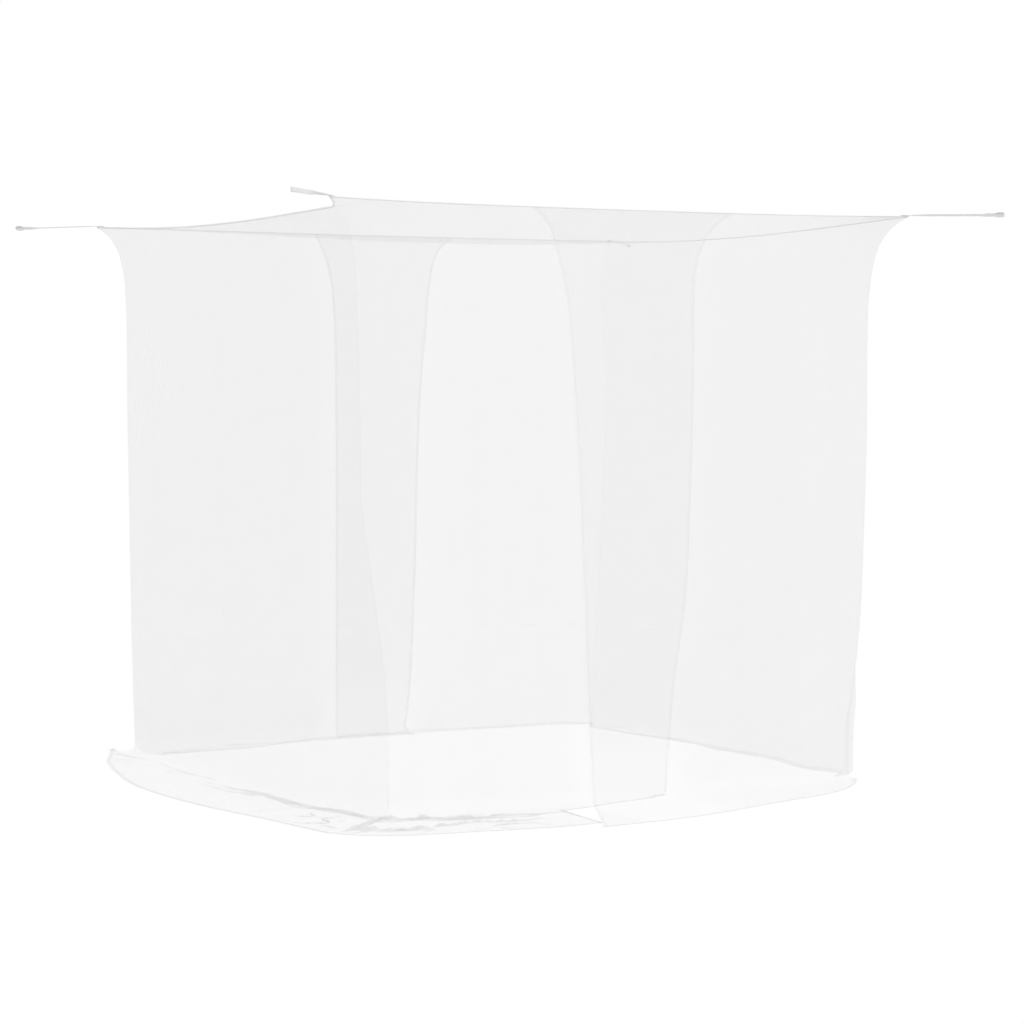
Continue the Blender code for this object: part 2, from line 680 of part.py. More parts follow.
def main():
    for old in list(bpy.data.objects):
        bpy.data.objects.remove(old)

    net = material("netting", NETTING_COLOUR, 0.9)
    hem = material("hem", HEM_COLOUR, 0.8)
    webbing = material("webbing", TAPE_COLOUR, 0.7)

    make_roof(net)
    make_end_wall("left_end", LEFT, LEFT_END_SKIRT, (0.0, 1.0), RIPPLE_HEIGHT, net, hem)
    make_end_wall("right_end", RIGHT, RIGHT_END_SKIRT, (-1.0, -1.0), 0.0, net, hem)

    halves = (
        ("front_outer", FRONT_OUTER, FRONT_OUTER_SKIRT, (0.0, 0.0), 0.0, True),
        ("front_inner", FRONT_INNER, FRONT_INNER_SKIRT, (1.0, 0.0), RIPPLE_HEIGHT, False),
        ("back_outer", BACK_OUTER, BACK_OUTER_SKIRT, (0.0, -1.0), 0.0, False),
        ("back_inner", BACK_INNER, BACK_INNER_SKIRT, (-1.0, 0.0), 0.0, True),
    )
    for name, curtain, knots, mitre, ripple, slanted in halves:
        make_standing_half(name, curtain, knots, mitre, ripple, slanted, net, hem)
    make_flap("front_outer", FRONT_OUTER, FRONT_OUTER_SKIRT, net, hem)
    make_flap("front_inner", FRONT_INNER, FRONT_INNER_FLAP_SKIRT, net, hem)
    make_flap("back_outer", BACK_OUTER, BACK_OUTER_FLAP_SKIRT, net, hem)
    make_flap("back_inner", BACK_INNER, BACK_INNER_SKIRT, net, hem)

    for name, wall in (("front", FRONT), ("right", RIGHT), ("back", BACK), ("left", LEFT)):
        make_roof_seam(name + "_roof_seam", wall, hem)

    corners = (
        ("front_left", FRONT_LEFT, FRONT_LEFT_SKIRT, True),
        ("front_right", FRONT_RIGHT, FRONT_OUTER_SKIRT[-1][1], False),
        ("back_right", BACK_RIGHT, BACK_INNER_SKIRT[0][1], False),
        ("back_left", BACK_LEFT, LEFT_END_SKIRT[0][1], False),
    )
    for name, end, length, mitred in corners:
        make_corner_rib(name + "_corner_seam", end, length, mitred, hem)
        make_tape(name + "_hanging_tape", end, webbing)


main()
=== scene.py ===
import json
import math

import bmesh
import bpy
import numpy as np
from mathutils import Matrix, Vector, noise


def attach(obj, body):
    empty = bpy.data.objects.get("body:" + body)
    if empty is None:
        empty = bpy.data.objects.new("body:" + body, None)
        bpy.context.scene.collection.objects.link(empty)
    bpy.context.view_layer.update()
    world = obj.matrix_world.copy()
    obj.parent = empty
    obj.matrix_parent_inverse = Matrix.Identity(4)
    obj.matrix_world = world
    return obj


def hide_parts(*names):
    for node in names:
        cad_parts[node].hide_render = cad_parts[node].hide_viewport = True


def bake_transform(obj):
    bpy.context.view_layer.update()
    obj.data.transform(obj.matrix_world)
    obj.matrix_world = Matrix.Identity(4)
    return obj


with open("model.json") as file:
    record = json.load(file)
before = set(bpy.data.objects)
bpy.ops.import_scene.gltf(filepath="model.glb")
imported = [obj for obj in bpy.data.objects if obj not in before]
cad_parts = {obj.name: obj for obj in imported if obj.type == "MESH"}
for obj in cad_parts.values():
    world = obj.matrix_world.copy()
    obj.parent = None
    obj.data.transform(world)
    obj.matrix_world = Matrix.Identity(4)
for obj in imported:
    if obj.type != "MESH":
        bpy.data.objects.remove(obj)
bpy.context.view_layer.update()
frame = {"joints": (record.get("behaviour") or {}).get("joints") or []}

# The camera stands 10 m from the net, towards its front left corner and at seven tenths of its height. Its
# lens is long, so that the upright edges stay nearly parallel.
CAMERA_PLACE = (-4.832, -8.909, -0.568)
CAMERA_TURN = math.radians(-28.936)
CAMERA_DIP = math.radians(2.63)
CAMERA_SENSOR = 36
CAMERA_LENS = 99.74
CAMERA_REACH = 1000
LAYERS_SEEN_THROUGH = 40
camera = bpy.data.cameras.new("photograph_view")
camera.sensor_width = CAMERA_SENSOR
camera.lens = CAMERA_LENS
camera.clip_end = CAMERA_REACH
eye = bpy.data.objects.new("photograph_view", camera)
eye.location = CAMERA_PLACE
eye.rotation_euler = (math.pi / 2 - CAMERA_DIP, 0, CAMERA_TURN)
bpy.context.collection.objects.link(eye)
bpy.context.scene.camera = eye
bpy.context.scene.view_settings.view_transform = "Standard"
bpy.context.scene.cycles.transparent_max_bounces = LAYERS_SEEN_THROUGH

# The studio: a white floor that keeps a faint shadow near the net, a white surround, an even light from all
# sides and one soft lamp high on the front right, which leaves the left end wall a little darker than the
# front one.
HANG_HEIGHT = 1.94
FLOOR = -HANG_HEIGHT
FLOOR_SIZE = 1200.0
FLOOR_GREY = 0.9
FLOOR_SHADE = 0.06
FLOOR_LIT = 0.9
SHADOW_FADES = (2.5, 6.0)
SURROUND_LIGHT = 0.83
LAMP_STRENGTH = 0.58
LAMP_SPREAD = math.radians(40)
LAMP_SIDE = (1.0, -1.6, 1.5)


def grey(shade):
    return (shade, shade, shade, 1)


def node(tree, kind, **settings):
    made = tree.nodes.new(kind)
    for key, value in settings.items():
        setattr(made, key, value)
    return made


def fed(tree, made, *parts):
    """Fills a node's first inputs with values or other nodes' outputs, and gives its first output."""
    for k, part in enumerate(parts):
        if isinstance(part, bpy.types.NodeSocket):
            tree.links.new(part, made.inputs[k])
        else:
            made.inputs[k].default_value = part
    return made.outputs[0]


def number(tree, operation, *parts):
    return fed(tree, node(tree, "ShaderNodeMath", operation=operation), *parts)


def vector(tree, operation, *parts):
    return fed(tree, node(tree, "ShaderNodeVectorMath", operation=operation), *parts)


def mix(tree, share, first, second):
    return fed(tree, node(tree, "ShaderNodeMixShader"), share, first, second)


def seen_white(tree):
    """1 for camera, glossy and transmission rays, which show the surround as plain white."""
    path = node(tree, "ShaderNodeLightPath")
    first = number(tree, "MAXIMUM", path.outputs["Is Camera Ray"], path.outputs["Is Glossy Ray"])
    return number(tree, "MAXIMUM", first, path.outputs["Is Transmission Ray"])


world = bpy.data.worlds.new("surround")
world.use_nodes = True
bpy.context.scene.world = world
tree = world.node_tree
tree.nodes.clear()
lit = fed(tree, node(tree, "ShaderNodeBackground"), grey(1), SURROUND_LIGHT)
white = fed(tree, node(tree, "ShaderNodeBackground"), grey(1))
surround = mix(tree, seen_white(tree), lit, white)
tree.links.new(surround, node(tree, "ShaderNodeOutputWorld").inputs[0])

ground = bpy.data.materials.new("white_floor")
ground.use_nodes = True
tree = ground.node_tree
tree.nodes.clear()
paint = fed(tree, node(tree, "ShaderNodeBsdfDiffuse"), grey(FLOOR_GREY))
veil = fed(tree, node(tree, "ShaderNodeBsdfDiffuse"), grey(FLOOR_SHADE))
glow = fed(tree, node(tree, "ShaderNodeEmission"), grey(1), 1.0 - FLOOR_LIT * FLOOR_SHADE)
shadowed = fed(tree, node(tree, "ShaderNodeAddShader"), veil, glow)
plain = fed(tree, node(tree, "ShaderNodeEmission"))
place = node(tree, "ShaderNodeTexCoord")
reach = node(tree, "ShaderNodeVectorMath", operation="LENGTH")
tree.links.new(place.outputs["Object"], reach.inputs[0])
fade = fed(tree, node(tree, "ShaderNodeMapRange"), reach.outputs["Value"], *SHADOW_FADES)
shown = mix(tree, fade, shadowed, plain)
surface = mix(tree, seen_white(tree), paint, shown)
tree.links.new(surface, node(tree, "ShaderNodeOutputMaterial").inputs[0])
half = FLOOR_SIZE / 2
mesh = bpy.data.meshes.new("studio_floor")
corners = [(-half, -half, FLOOR), (half, -half, FLOOR), (half, half, FLOOR), (-half, half, FLOOR)]
mesh.from_pydata(corners, [], [(0, 1, 2, 3)])
mesh.materials.append(ground)
studio_floor = bpy.data.objects.new("studio_floor", mesh)
bpy.context.collection.objects.link(studio_floor)

lamp = bpy.data.lights.new("soft_lamp", "SUN")
lamp.energy = LAMP_STRENGTH
lamp.angle = LAMP_SPREAD
lamp_stand = bpy.data.objects.new("soft_lamp", lamp)
lamp_stand.rotation_euler = Vector(LAMP_SIDE).to_track_quat("Z", "Y").to_euler()
bpy.context.collection.objects.link(lamp_stand)

# The roof panel is one piece of tulle, bound into the four seams. It is pulled tight at its corners, where
# creases run inwards from the tapes, and sags a little between them. Beside the left seam it puffs up.
LENGTH = 2.20
WIDTH = 2.00
ROOF_SAG = 0.035
PUFF = 0.011
PUFF_AT = 0.045
PUFF_W = 0.028
PUFF_STARTS = 0.08
PUFF_ENDS = 0.55
CORNER_DRAW = {"front_left": (0.160, 0.100), "front_right": (0.120, 0.115), "back_right": (0.120, 0.100),
               "back_left": (0.100, 0.100)}
CORNER_SIDE = {"front_left": (-1, -1), "front_right": (1, -1), "back_right": (1, 1), "back_left": (-1, 1)}
FLARE_SHARP_SHARE = 0.70
FLARE_SHARP = 0.062
FLARE_SLOW = 0.48
HOOK_START = 0.020
HOOK_REACH = 0.38
FOLD_DEPTH = 0.012
FOLD_PITCH = 0.50
FOLD_STARTS = 0.14
FOLD_GROWS = 0.60
FOLD_FROM_FLAT = 0.15
FOLD_FROM_SEAM = 0.20
LAYER_TOP = 0.0018
LAYER_FOOT = 0.0100
TULLE_PITCH = 0.0016
TULLE_THREAD = 0.117
THREAD_EDGE = 0.02
CELL_WARP = 0.5
CELL_WARP_SCALE = 0.45
STREAK_PER_METRE = (4.0, 0.35, 0.0)
STREAK_SPREAD = (0.90, 1.10)


def smooth(x):
    x = np.clip(x, 0.0, 1.0)
    return x * x * (3 - 2 * x)


def unit(rows):
    return rows / np.maximum(np.linalg.norm(rows, axis=-1, keepdims=True), 1e-9)


def corner_tip(name):
    return np.array(CORNER_SIDE[name]) * (LENGTH / 2, WIDTH / 2)


def rule(*knots):
    """A smooth curve through (place, value) knots that doesn't overshoot them, level beyond its ends."""
    x, y = np.array(knots, float).T
    rise = np.diff(y) / np.diff(x)
    before = np.append(rise[0], rise)
    after = np.append(rise, rise[-1])
    steepest = 3 * np.minimum(np.abs(before), np.abs(after)) * (before * after > 0)
    slope = np.clip((before + after) / 2, -steepest, steepest)

    def at(place):
        place = np.clip(place, x[0], x[-1])
        i = np.clip(np.searchsorted(x, place) - 1, 0, len(x) - 2)
        h = x[i + 1] - x[i]
        s = (place - x[i]) / h
        start = y[i] + (3 * s ** 2 - 2 * s ** 3) * (y[i + 1] - y[i])
        return start + (s ** 3 - 2 * s ** 2 + s) * h * slope[i] + (s ** 3 - s ** 2) * h * slope[i + 1]

    return at


CORNER_DRIFT = {
    "front_left": (rule((0.95, 0), (1.3, 0.034), (1.62, 0.058), (1.94, 0.060)), (1, -1)),
    "front_right": (rule((0.3, 0), (0.8, 0.018), (1.1, 0.014), (1.36, 0.004), (1.64, -0.026), (1.80, -0.048),
                         (1.94, -0.048)), (1, 0)),
    "back_right": (rule((0.1, 0), (0.6, 0.040), (1.2, 0.020), (1.94, -0.020)), (1, 0)),
    "back_left": (rule((0.2, 0), (0.8, -0.014), (1.5, -0.010), (1.94, 0)), (1, 0)),
}


def corner_at(name, depth):
    """The upright edge below a corner, in plan: it falls inwards fast at first, then slowly, and wanders."""
    tip = corner_tip(name)
    body = tip - np.array(CORNER_SIDE[name]) * CORNER_DRAW[name]
    sharp = FLARE_SHARP_SHARE * np.exp(-depth / FLARE_SHARP)
    fall = sharp + (1 - FLARE_SHARP_SHARE) * np.exp(-depth / FLARE_SLOW)
    drift, way = CORNER_DRIFT[name]
    return body + (tip - body) * np.asarray(fall)[..., None] + np.array(way) * drift(depth)[..., None]


class Wall:
    """One side of the net. A place on it is (a, z), where a runs left to right seen from outside.

    bow is how far its seam bows inwards and sag how far down, at mid-side. foot is how far out the cloth
    hangs at the floor, and flat the middle share that hangs without folds. hook is how far the seam dips
    beside its right corner.
    """

    def __init__(self, left, right, along, out, bow, sag, foot, flat, hook=0.0):
        self.left = left
        self.right = right
        self.along = np.array(along, float)
        self.out = np.array(out, float)
        self.bow = bow
        self.sag = sag
        self.foot = foot
        self.flat = flat
        self.hook = hook

    def ends(self, z):
        left = corner_at(self.left, -np.minimum(z, 0.0))
        right = corner_at(self.right, -np.minimum(z, 0.0))
        return left @ self.along, left @ self.out, right @ self.along, right @ self.out

    def share(self, a, z):
        left, _, right, _ = self.ends(z)
        return (2 * a - left - right) / (right - left)

    def seam_z(self, a):
        t = self.share(a, np.zeros_like(a))
        from_tip = (1 - t) * WIDTH / 2
        hook = self.hook * (1 - np.exp(-from_tip / HOOK_START)) * np.exp(-from_tip / HOOK_REACH)
        return -self.sag * np.maximum(0.0, 1 - t * t) - hook

    def distance(self, a, z, layer=0):
        """How far out of the net's middle plane the cloth hangs. layer is 1 outside, -1 inside."""
        _, out_left, _, out_right = self.ends(z)
        t = self.share(a, z)
        straight = out_left + (out_right - out_left) * (t + 1) / 2
        down = np.minimum(-z / HANG_HEIGHT, 1.0)
        seam = corner_tip(self.left) @ self.out - self.bow
        middle = seam + (self.foot - seam) * down + layer * (LAYER_TOP + (LAYER_FOOT - LAYER_TOP) * down) / 2
        edge = np.maximum((np.abs(t) - self.flat) / (1 - self.flat), 0.0) ** 2
        return middle + (straight - middle) * edge + self.fold(a, z)

    def fold(self, a, z):
        """The broad upright folds of the hanging cloth."""
        t = self.share(a, z)
        away = smooth((np.abs(t) - self.flat) / FOLD_FROM_FLAT) if self.flat else 1.0
        held = smooth((1 - np.abs(t)) / FOLD_FROM_SEAM)
        grown = smooth((-z - FOLD_STARTS) / FOLD_GROWS)
        return FOLD_DEPTH * away * held * grown * np.sin(2 * np.pi * a / FOLD_PITCH)

    def place(self, a, out, z):
        plan = self.along * np.asarray(a)[..., None] + self.out * np.asarray(out)[..., None]
        return np.concatenate([plan, np.asarray(z)[..., None]], axis=-1)

    def on_seam(self, t, drop=0.0):
        """A point of the roof seam, or of the wall just below it, t from -1 to 1."""
        zero = np.zeros_like(t)
        left, _, right, _ = self.ends(zero)
        z = self.seam_z((left + right) / 2 + t * (right - left) / 2) - drop
        left, _, right, _ = self.ends(z)
        a = (left + right) / 2 + t * (right - left) / 2
        return self.place(a, self.distance(a, z), z)


LONG_WALL = dict(bow=0.065, sag=0.006, foot=0.975, flat=0.52)
END_WALL = dict(bow=0.070, sag=0.030, foot=0.990, flat=0.0)
FRONT = Wall("front_left", "front_right", (1, 0), (0, -1), **LONG_WALL)
RIGHT = Wall("front_right", "back_right", (0, 1), (1, 0), **END_WALL)
BACK = Wall("back_right", "back_left", (-1, 0), (0, 1), **LONG_WALL)
LEFT = Wall("back_left", "front_left", (0, -1), (-1, 0), hook=0.028, **END_WALL)


def roof_point(u, v):
    """The roof stretched between its four seams, u along X and v along Y, 0 to 1, with its own sag."""
    u, v = u[..., None], v[..., None]
    across = (1 - v) * FRONT.on_seam(2 * u[..., 0] - 1) + v * BACK.on_seam(1 - 2 * u[..., 0])
    along = (1 - u) * LEFT.on_seam(1 - 2 * v[..., 0]) + u * RIGHT.on_seam(2 * v[..., 0] - 1)
    tip = {name: np.append(corner_tip(name), 0.0) for name in CORNER_SIDE}
    front = (1 - u) * tip["front_left"] + u * tip["front_right"]
    back = (1 - u) * tip["back_left"] + u * tip["back_right"]
    sag = ROOF_SAG * 16 * u * (1 - u) * v * (1 - v)
    beside = np.exp(-((u * LENGTH - PUFF_AT) / PUFF_W) ** 2)
    sag = sag - PUFF * beside * smooth(v / PUFF_STARTS) * (1 - smooth(v / PUFF_ENDS))
    return across + along - ((1 - v) * front + v * back) - np.array([0, 0, 1.0]) * sag


def group_socket(group, name, way, kind, value=None):
    made = group.interface.new_socket(name, in_out=way, socket_type=kind)
    if value is not None:
        made.default_value = value


def pattern_group(name, **values):
    """A pattern on a UV map in metres: how its tone runs, which in a weave is painted shade in the hollows,
    how much it covers, and its height.
    """
    group = bpy.data.node_groups.new(name, "ShaderNodeTree")
    group_socket(group, "Place", "INPUT", "NodeSocketVector")
    for key, value in values.items():
        group_socket(group, key.replace("_", " "), "INPUT", "NodeSocketFloat", value)
    for key in ("Tint", "Cover", "Height"):
        group_socket(group, key, "OUTPUT", "NodeSocketFloat")
    return group, node(group, "NodeGroupInput"), node(group, "NodeGroupOutput")


def pattern_outputs(group, source, result, tone_and_painted_shade, mask, height):
    """Puts a pattern out. Its cover is 1 where the mask is 1, and Least where the mask is 0."""
    cover = node(group, "ShaderNodeMapRange")
    group.links.new(mask, cover.inputs["Value"])
    group.links.new(source.outputs["Least"], cover.inputs["To Min"])
    for key, value in (("Tint", tone_and_painted_shade), ("Cover", cover.outputs[0]), ("Height", height)):
        group.links.new(value, result.inputs[key])


def tulle_mesh_group():
    """Hexagonal holes in a sheet: cover is 1 on the threads and Least in the holes.

    It is knitted a little unevenly along its length, and is thinner where Opened says it is pulled open.
    """
    group, source, result = pattern_group("tulle_mesh", Pitch=TULLE_PITCH, Thread=TULLE_THREAD, Least=0.0,
                                          Opened=0.0)
    link = group.links.new
    half_cell = (0.5, math.sqrt(3) / 2, 1.0)
    other_half = tuple(-x for x in half_cell)
    cells = node(group, "ShaderNodeVectorMath", operation="SCALE")
    link(source.outputs["Place"], cells.inputs[0])
    link(number(group, "DIVIDE", 1.0, source.outputs["Pitch"]), cells.inputs["Scale"])
    uneven = node(group, "ShaderNodeTexNoise")
    uneven.inputs["Scale"].default_value = CELL_WARP_SCALE
    link(cells.outputs[0], uneven.inputs["Vector"])
    centred = vector(group, "SUBTRACT", uneven.outputs["Color"], (0.5, 0.5, 0.5))
    shift = vector(group, "MULTIPLY", centred, (CELL_WARP, CELL_WARP, 0))
    moved = vector(group, "ADD", cells.outputs[0], shift)

    def hexagon(place):
        parts = node(group, "ShaderNodeSeparateXYZ")
        cell = vector(group, "WRAP", place, half_cell, other_half)
        link(vector(group, "ABSOLUTE", cell), parts.inputs[0])
        slant = number(group, "ADD", number(group, "MULTIPLY", parts.outputs[0], 0.5),
                       number(group, "MULTIPLY", parts.outputs[1], math.sqrt(3) / 2))
        return number(group, "MAXIMUM", parts.outputs[0], slant)

    streaks = node(group, "ShaderNodeTexNoise")
    streaks.inputs["Scale"].default_value = 1.0
    link(vector(group, "MULTIPLY", source.outputs["Place"], STREAK_PER_METRE), streaks.inputs["Vector"])
    denser = node(group, "ShaderNodeMapRange")
    denser.inputs["To Min"].default_value, denser.inputs["To Max"].default_value = STREAK_SPREAD
    link(streaks.outputs[0], denser.inputs["Value"])
    knitted = number(group, "MULTIPLY", source.outputs["Thread"], denser.outputs[0])
    thread = number(group, "MULTIPLY", knitted, number(group, "SUBTRACT", 1.0, source.outputs["Opened"]))
    reach = number(group, "MINIMUM", hexagon(moved), hexagon(vector(group, "SUBTRACT", moved, half_cell)))
    inner = number(group, "SUBTRACT", 0.5, number(group, "MULTIPLY", thread, 0.5))
    edge = node(group, "ShaderNodeMapRange", interpolation_type="SMOOTHSTEP")
    link(reach, edge.inputs["Value"])
    link(number(group, "SUBTRACT", inner, THREAD_EDGE), edge.inputs["From Min"])
    link(number(group, "ADD", inner, THREAD_EDGE), edge.inputs["From Max"])
    height = number(group, "SUBTRACT", reach, inner)
    pattern_outputs(group, source, result, streaks.outputs[0], edge.outputs[0], height)
    return group


TULLE_MESH = tulle_mesh_group()


def cloth_material(name, group, shade, spread, roughness, specular, bump, **values):
    """Cloth with a group's pattern. Its colour goes between the spread's two shares of a grey shade, as the
    pattern's tone and painted shade run.

    bump is how far the pattern stands out and how strongly that shows.
    """
    made = bpy.data.materials.new(name)
    made.use_nodes = True
    tree = made.node_tree
    shader = tree.nodes["Principled BSDF"]
    shader.inputs["Roughness"].default_value = roughness
    shader.inputs["Specular IOR Level"].default_value = specular
    cloth = node(tree, "ShaderNodeUVMap", uv_map="cloth")
    pattern = node(tree, "ShaderNodeGroup")
    pattern.node_tree = group
    tree.links.new(cloth.outputs[0], pattern.inputs["Place"])
    for key, value in values.items():
        pattern.inputs[key.replace("_", " ")].default_value = value
    tree.links.new(pattern.outputs["Cover"], shader.inputs["Alpha"])
    # Random tone for tulle; painted shade in the hollows for a weave, whose tone is its yarn height.
    tone_and_painted_shade = node(tree, "ShaderNodeMix", data_type="RGBA")
    tone_and_painted_shade.inputs["A"].default_value = grey(spread[0] * shade)
    tone_and_painted_shade.inputs["B"].default_value = grey(spread[1] * shade)
    tree.links.new(pattern.outputs["Tint"], tone_and_painted_shade.inputs["Factor"])
    tree.links.new(tone_and_painted_shade.outputs["Result"], shader.inputs["Base Color"])
    raised = node(tree, "ShaderNodeBump")
    raised.inputs["Distance"].default_value, raised.inputs["Strength"].default_value = bump
    tree.links.new(pattern.outputs["Height"], raised.inputs["Height"])
    tree.links.new(raised.outputs[0], shader.inputs["Normal"])
    return made, pattern


def mesh_material(name, shade, roughness, pitch, thread, least):
    """Netting, opened by the attribute drawn_open. Layered hems have least of a cover even in the holes."""
    made, pattern = cloth_material(name, TULLE_MESH, shade, spread=(0.96, 1.04), roughness=roughness,
                                   specular=0.25, bump=(0.0002, 0.5), Pitch=pitch, Thread=thread,
                                   Least=least)
    tree = made.node_tree
    opened = node(tree, "ShaderNodeAttribute", attribute_name="drawn_open")
    tree.links.new(opened.outputs["Fac"], pattern.inputs["Opened"])
    return made


TULLE = mesh_material("tulle", shade=0.80, roughness=0.65, pitch=TULLE_PITCH, thread=TULLE_THREAD,
                      least=0.0)


def grid_object(name, points, finish):
    """A sheet of one surface through a grid of points, with the lengths across and down it as its UV map."""
    height, width = points.shape[:2]
    faces = []
    for i in range(height - 1):
        for j in range(width - 1):
            here = i * width + j
            faces.append((here, here + 1, here + width + 1, here + width))
    mesh = bpy.data.meshes.new(name)
    mesh.from_pydata(points.reshape(-1, 3).tolist(), [], faces)
    flat = np.stack([arc_lengths(points, 1), arc_lengths(points, 0)], axis=-1).reshape(-1, 2)
    order = np.empty(len(mesh.loops), int)
    mesh.loops.foreach_get("vertex_index", order)
    mesh.uv_layers.new(name="cloth").data.foreach_set("uv", flat[order].ravel())
    return finished(name, mesh, finish)


def finished(name, mesh, finish):
    mesh.shade_smooth()
    mesh.materials.append(finish)
    made = bpy.data.objects.new(name, mesh)
    bpy.context.collection.objects.link(made)
    return made


def arc_lengths(points, axis):
    steps = np.linalg.norm(np.diff(points, axis=axis), axis=-1)
    start = np.zeros_like(np.take(steps, [0], axis=axis))
    return np.concatenate([start, np.cumsum(steps, axis=axis)], axis=axis)


ROOF_GRID = 201
ROOF_CREASE = 0.0035
CREASE_STARTS = 0.10
CREASE_FADES = 0.35
CREASES_ROUND = 22
places = np.linspace(0, 1, ROOF_GRID)
places = places * 0.5 + smooth(places) * 0.5
roof = roof_point(*np.meshgrid(places, places))
for name, (side_x, _) in CORNER_SIDE.items():
    away = np.abs(roof[..., :2] - corner_tip(name))
    reach = np.hypot(away[..., 0], away[..., 1])
    angle = np.arctan2(away[..., 1], away[..., 0])
    crease = smooth(reach / CREASE_STARTS) * np.exp(-reach / CREASE_FADES) * np.sin(angle * 2)
    crease *= np.cos(angle * CREASES_ROUND + side_x)
    roof[..., 2] += ROOF_CREASE * crease
roof_netting = grid_object("roof_netting", roof, TULLE)
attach(roof_netting, "net")
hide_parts("roof_panel")

# The two end walls are single pieces of tulle. They fall from the bound roof edge and reach the floor, where
# the rest of their length lies: outwards at the left, bunched against the wall's foot, and tucked in at the
# right.
SAG_FADE = 0.30
CLOTH_FLOOR = FLOOR + 0.0008
FLOOR_BEND = 0.050
LEAST_BEND = 0.0005
BEND_SHARE = 0.6
HEM_W = 0.015
WALL_COLUMNS = 201
WALL_ROWS = 150
BEND_ROWS = 8
SKIRT_ROWS = 90
EVEN_COLUMNS = 0.4
EVEN_ROWS = 0.65
WALL_STARTS = 0.0006
BELLY_STARTS = 1.40
BELLY_GROWS = 0.35
WRINKLE = 0.0022
WRINKLE_GROWS = 0.25
WRINKLE_DIES = 0.30
WRINKLE_FROM_SEAM = 0.10
RIDGES = 4
RIDGE_START = 0.014
RIDGE_PITCH = 0.015
RIDGE_W = 0.0105
RIDGE_WANDERS = 0.028
RIDGE_NEAREST = -0.010
CRUMPLE_W = 0.10
LIES_FROM_SEAM = 0.02
FOLDS_SETTLE = 0.10
NO_HEIGHT = rule((-1, 0), (1, 0))


def wrinkle(wall, a, z, seed):
    """Soft upright folds of a hanging wall, which die out at its seams and at the floor."""
    depth = -z
    held = smooth((1 - np.abs(wall.share(a, z))) / WRINKLE_FROM_SEAM)
    upright = np.sin(a * 31 + 3 * np.sin(a * 7 + seed) + seed) * np.sin(a * 11.3 + 2.1 * seed)
    grown = WRINKLE * smooth(depth / WRINKLE_GROWS)
    return grown * smooth((HANG_HEIGHT - depth) / WRINKLE_DIES) * held * upright


def rough(a, run, scale, seed):
    return np.array([noise.noise(Vector((x * scale, r * scale, seed * 3.1))) for x, r in zip(a, run)])


def fanned(a, run, fans):
    """Where the cloth lies sideways on the floor, after it fans out round a corner of the net."""
    for start, end, ratio, power in fans:
        a = a + ratio * np.clip((a - start) / (end - start), 0, 1) ** power * np.abs(run)
    return a


def hang(wall, left, right, skirt, layer=0, fans=(), bunch_at=NO_HEIGHT, bunch_height=NO_HEIGHT,
         crumple=NO_HEIGHT, belly=NO_HEIGHT, seed=0):
    """A grid of points down the wall, round the turn at the floor and along it to the end of the hem.

    left and right give the cloth's edges at a height. The other rules go by the share of the wall, from -1
    to 1: skirt is the length on the floor, outwards or, where negative, inwards. bunch_at and bunch_height
    are how far out the cloth is bunched and how high, crumple is the height of its small creases, and belly
    is how far the wall bellies out above the floor.
    """
    x = np.linspace(0, 1, WALL_COLUMNS)
    c = EVEN_COLUMNS * x + (1 - EVEN_COLUMNS) * (0.5 - 0.5 * np.cos(np.pi * x))
    floor = np.full_like(c, FLOOR)
    feet = left(floor) * (1 - c) + right(floor) * c
    t = wall.share(feet, floor)
    length = skirt(t)
    radius = np.minimum(FLOOR_BEND, BEND_SHARE * np.abs(length)) + LEAST_BEND
    side = np.where(length > 0, 1.0, -1.0)
    starts = left(np.zeros_like(c)) * (1 - c) + right(np.zeros_like(c)) * c
    seam = wall.seam_z(starts)
    lowest = -(CLOTH_FLOOR + radius)
    rows = []
    for step in np.linspace(0, 1, WALL_ROWS):
        depth = lowest * ((1 - EVEN_ROWS) * step * step + EVEN_ROWS * step) + WALL_STARTS
        z = np.maximum(seam * np.exp(-depth / SAG_FADE) - depth, -lowest)
        a = left(z) * (1 - c) + right(z) * c
        bellied = belly(t) * smooth((-z - BELLY_STARTS) / BELLY_GROWS)
        rows.append(wall.place(a, wall.distance(a, z, layer) + wrinkle(wall, a, z, seed) + bellied, z))
    quarter = radius * math.pi / 2
    folded = wall.distance(feet, np.full_like(c, CLOTH_FLOOR), layer) + belly(t)
    even = folded - wall.fold(feet, np.full_like(c, CLOTH_FLOOR))
    for step in np.linspace(0, 1, BEND_ROWS + 1)[1:]:
        turn = step * math.pi / 2
        run = side * radius * (1 - math.cos(turn))
        height = CLOTH_FLOOR + radius * (1 - math.sin(turn))
        rows.append(wall.place(fanned(feet, run, fans), folded + run, height))
    flat = np.abs(length) - quarter + HEM_W
    held = smooth((1 - np.abs(t)) / LIES_FROM_SEAM)
    for step in np.linspace(0, 1, SKIRT_ROWS + 1)[1:]:
        run = radius + flat * step
        a = fanned(feet, run, fans)
        lift = 0.0
        for k in range(RIDGES):
            wander = np.maximum(RIDGE_WANDERS * rough(feet, run * 0.4, 5.0, seed + k), RIDGE_NEAREST)
            middle = bunch_at(t) + radius + RIDGE_START + RIDGE_PITCH * k + wander
            tall = bunch_height(t) * (0.80 + 0.5 * rough(feet, 0 * run, 7.0, seed + 9 + k))
            lift = np.maximum(lift, tall * np.exp(-((run - middle) / RIDGE_W) ** 2))
        crease = rough(0.45 * a, 1.5 * run, 14.0, seed + 20)
        sharp = np.maximum(0.0, 1 - np.abs(crease) / CRUMPLE_W) ** 2
        soft = 0.6 * np.abs(rough(a, run, 8.0, seed + 30))
        lift = lift + crumple(t) * np.sin(np.pi * step) * (sharp + soft)
        settled = smooth((run - radius) / FOLDS_SETTLE)
        out = folded + (even - folded) * settled + side * run
        rows.append(wall.place(a, out, CLOTH_FLOOR + lift * held * smooth((1 - step) * 10)))
    return np.array(rows)


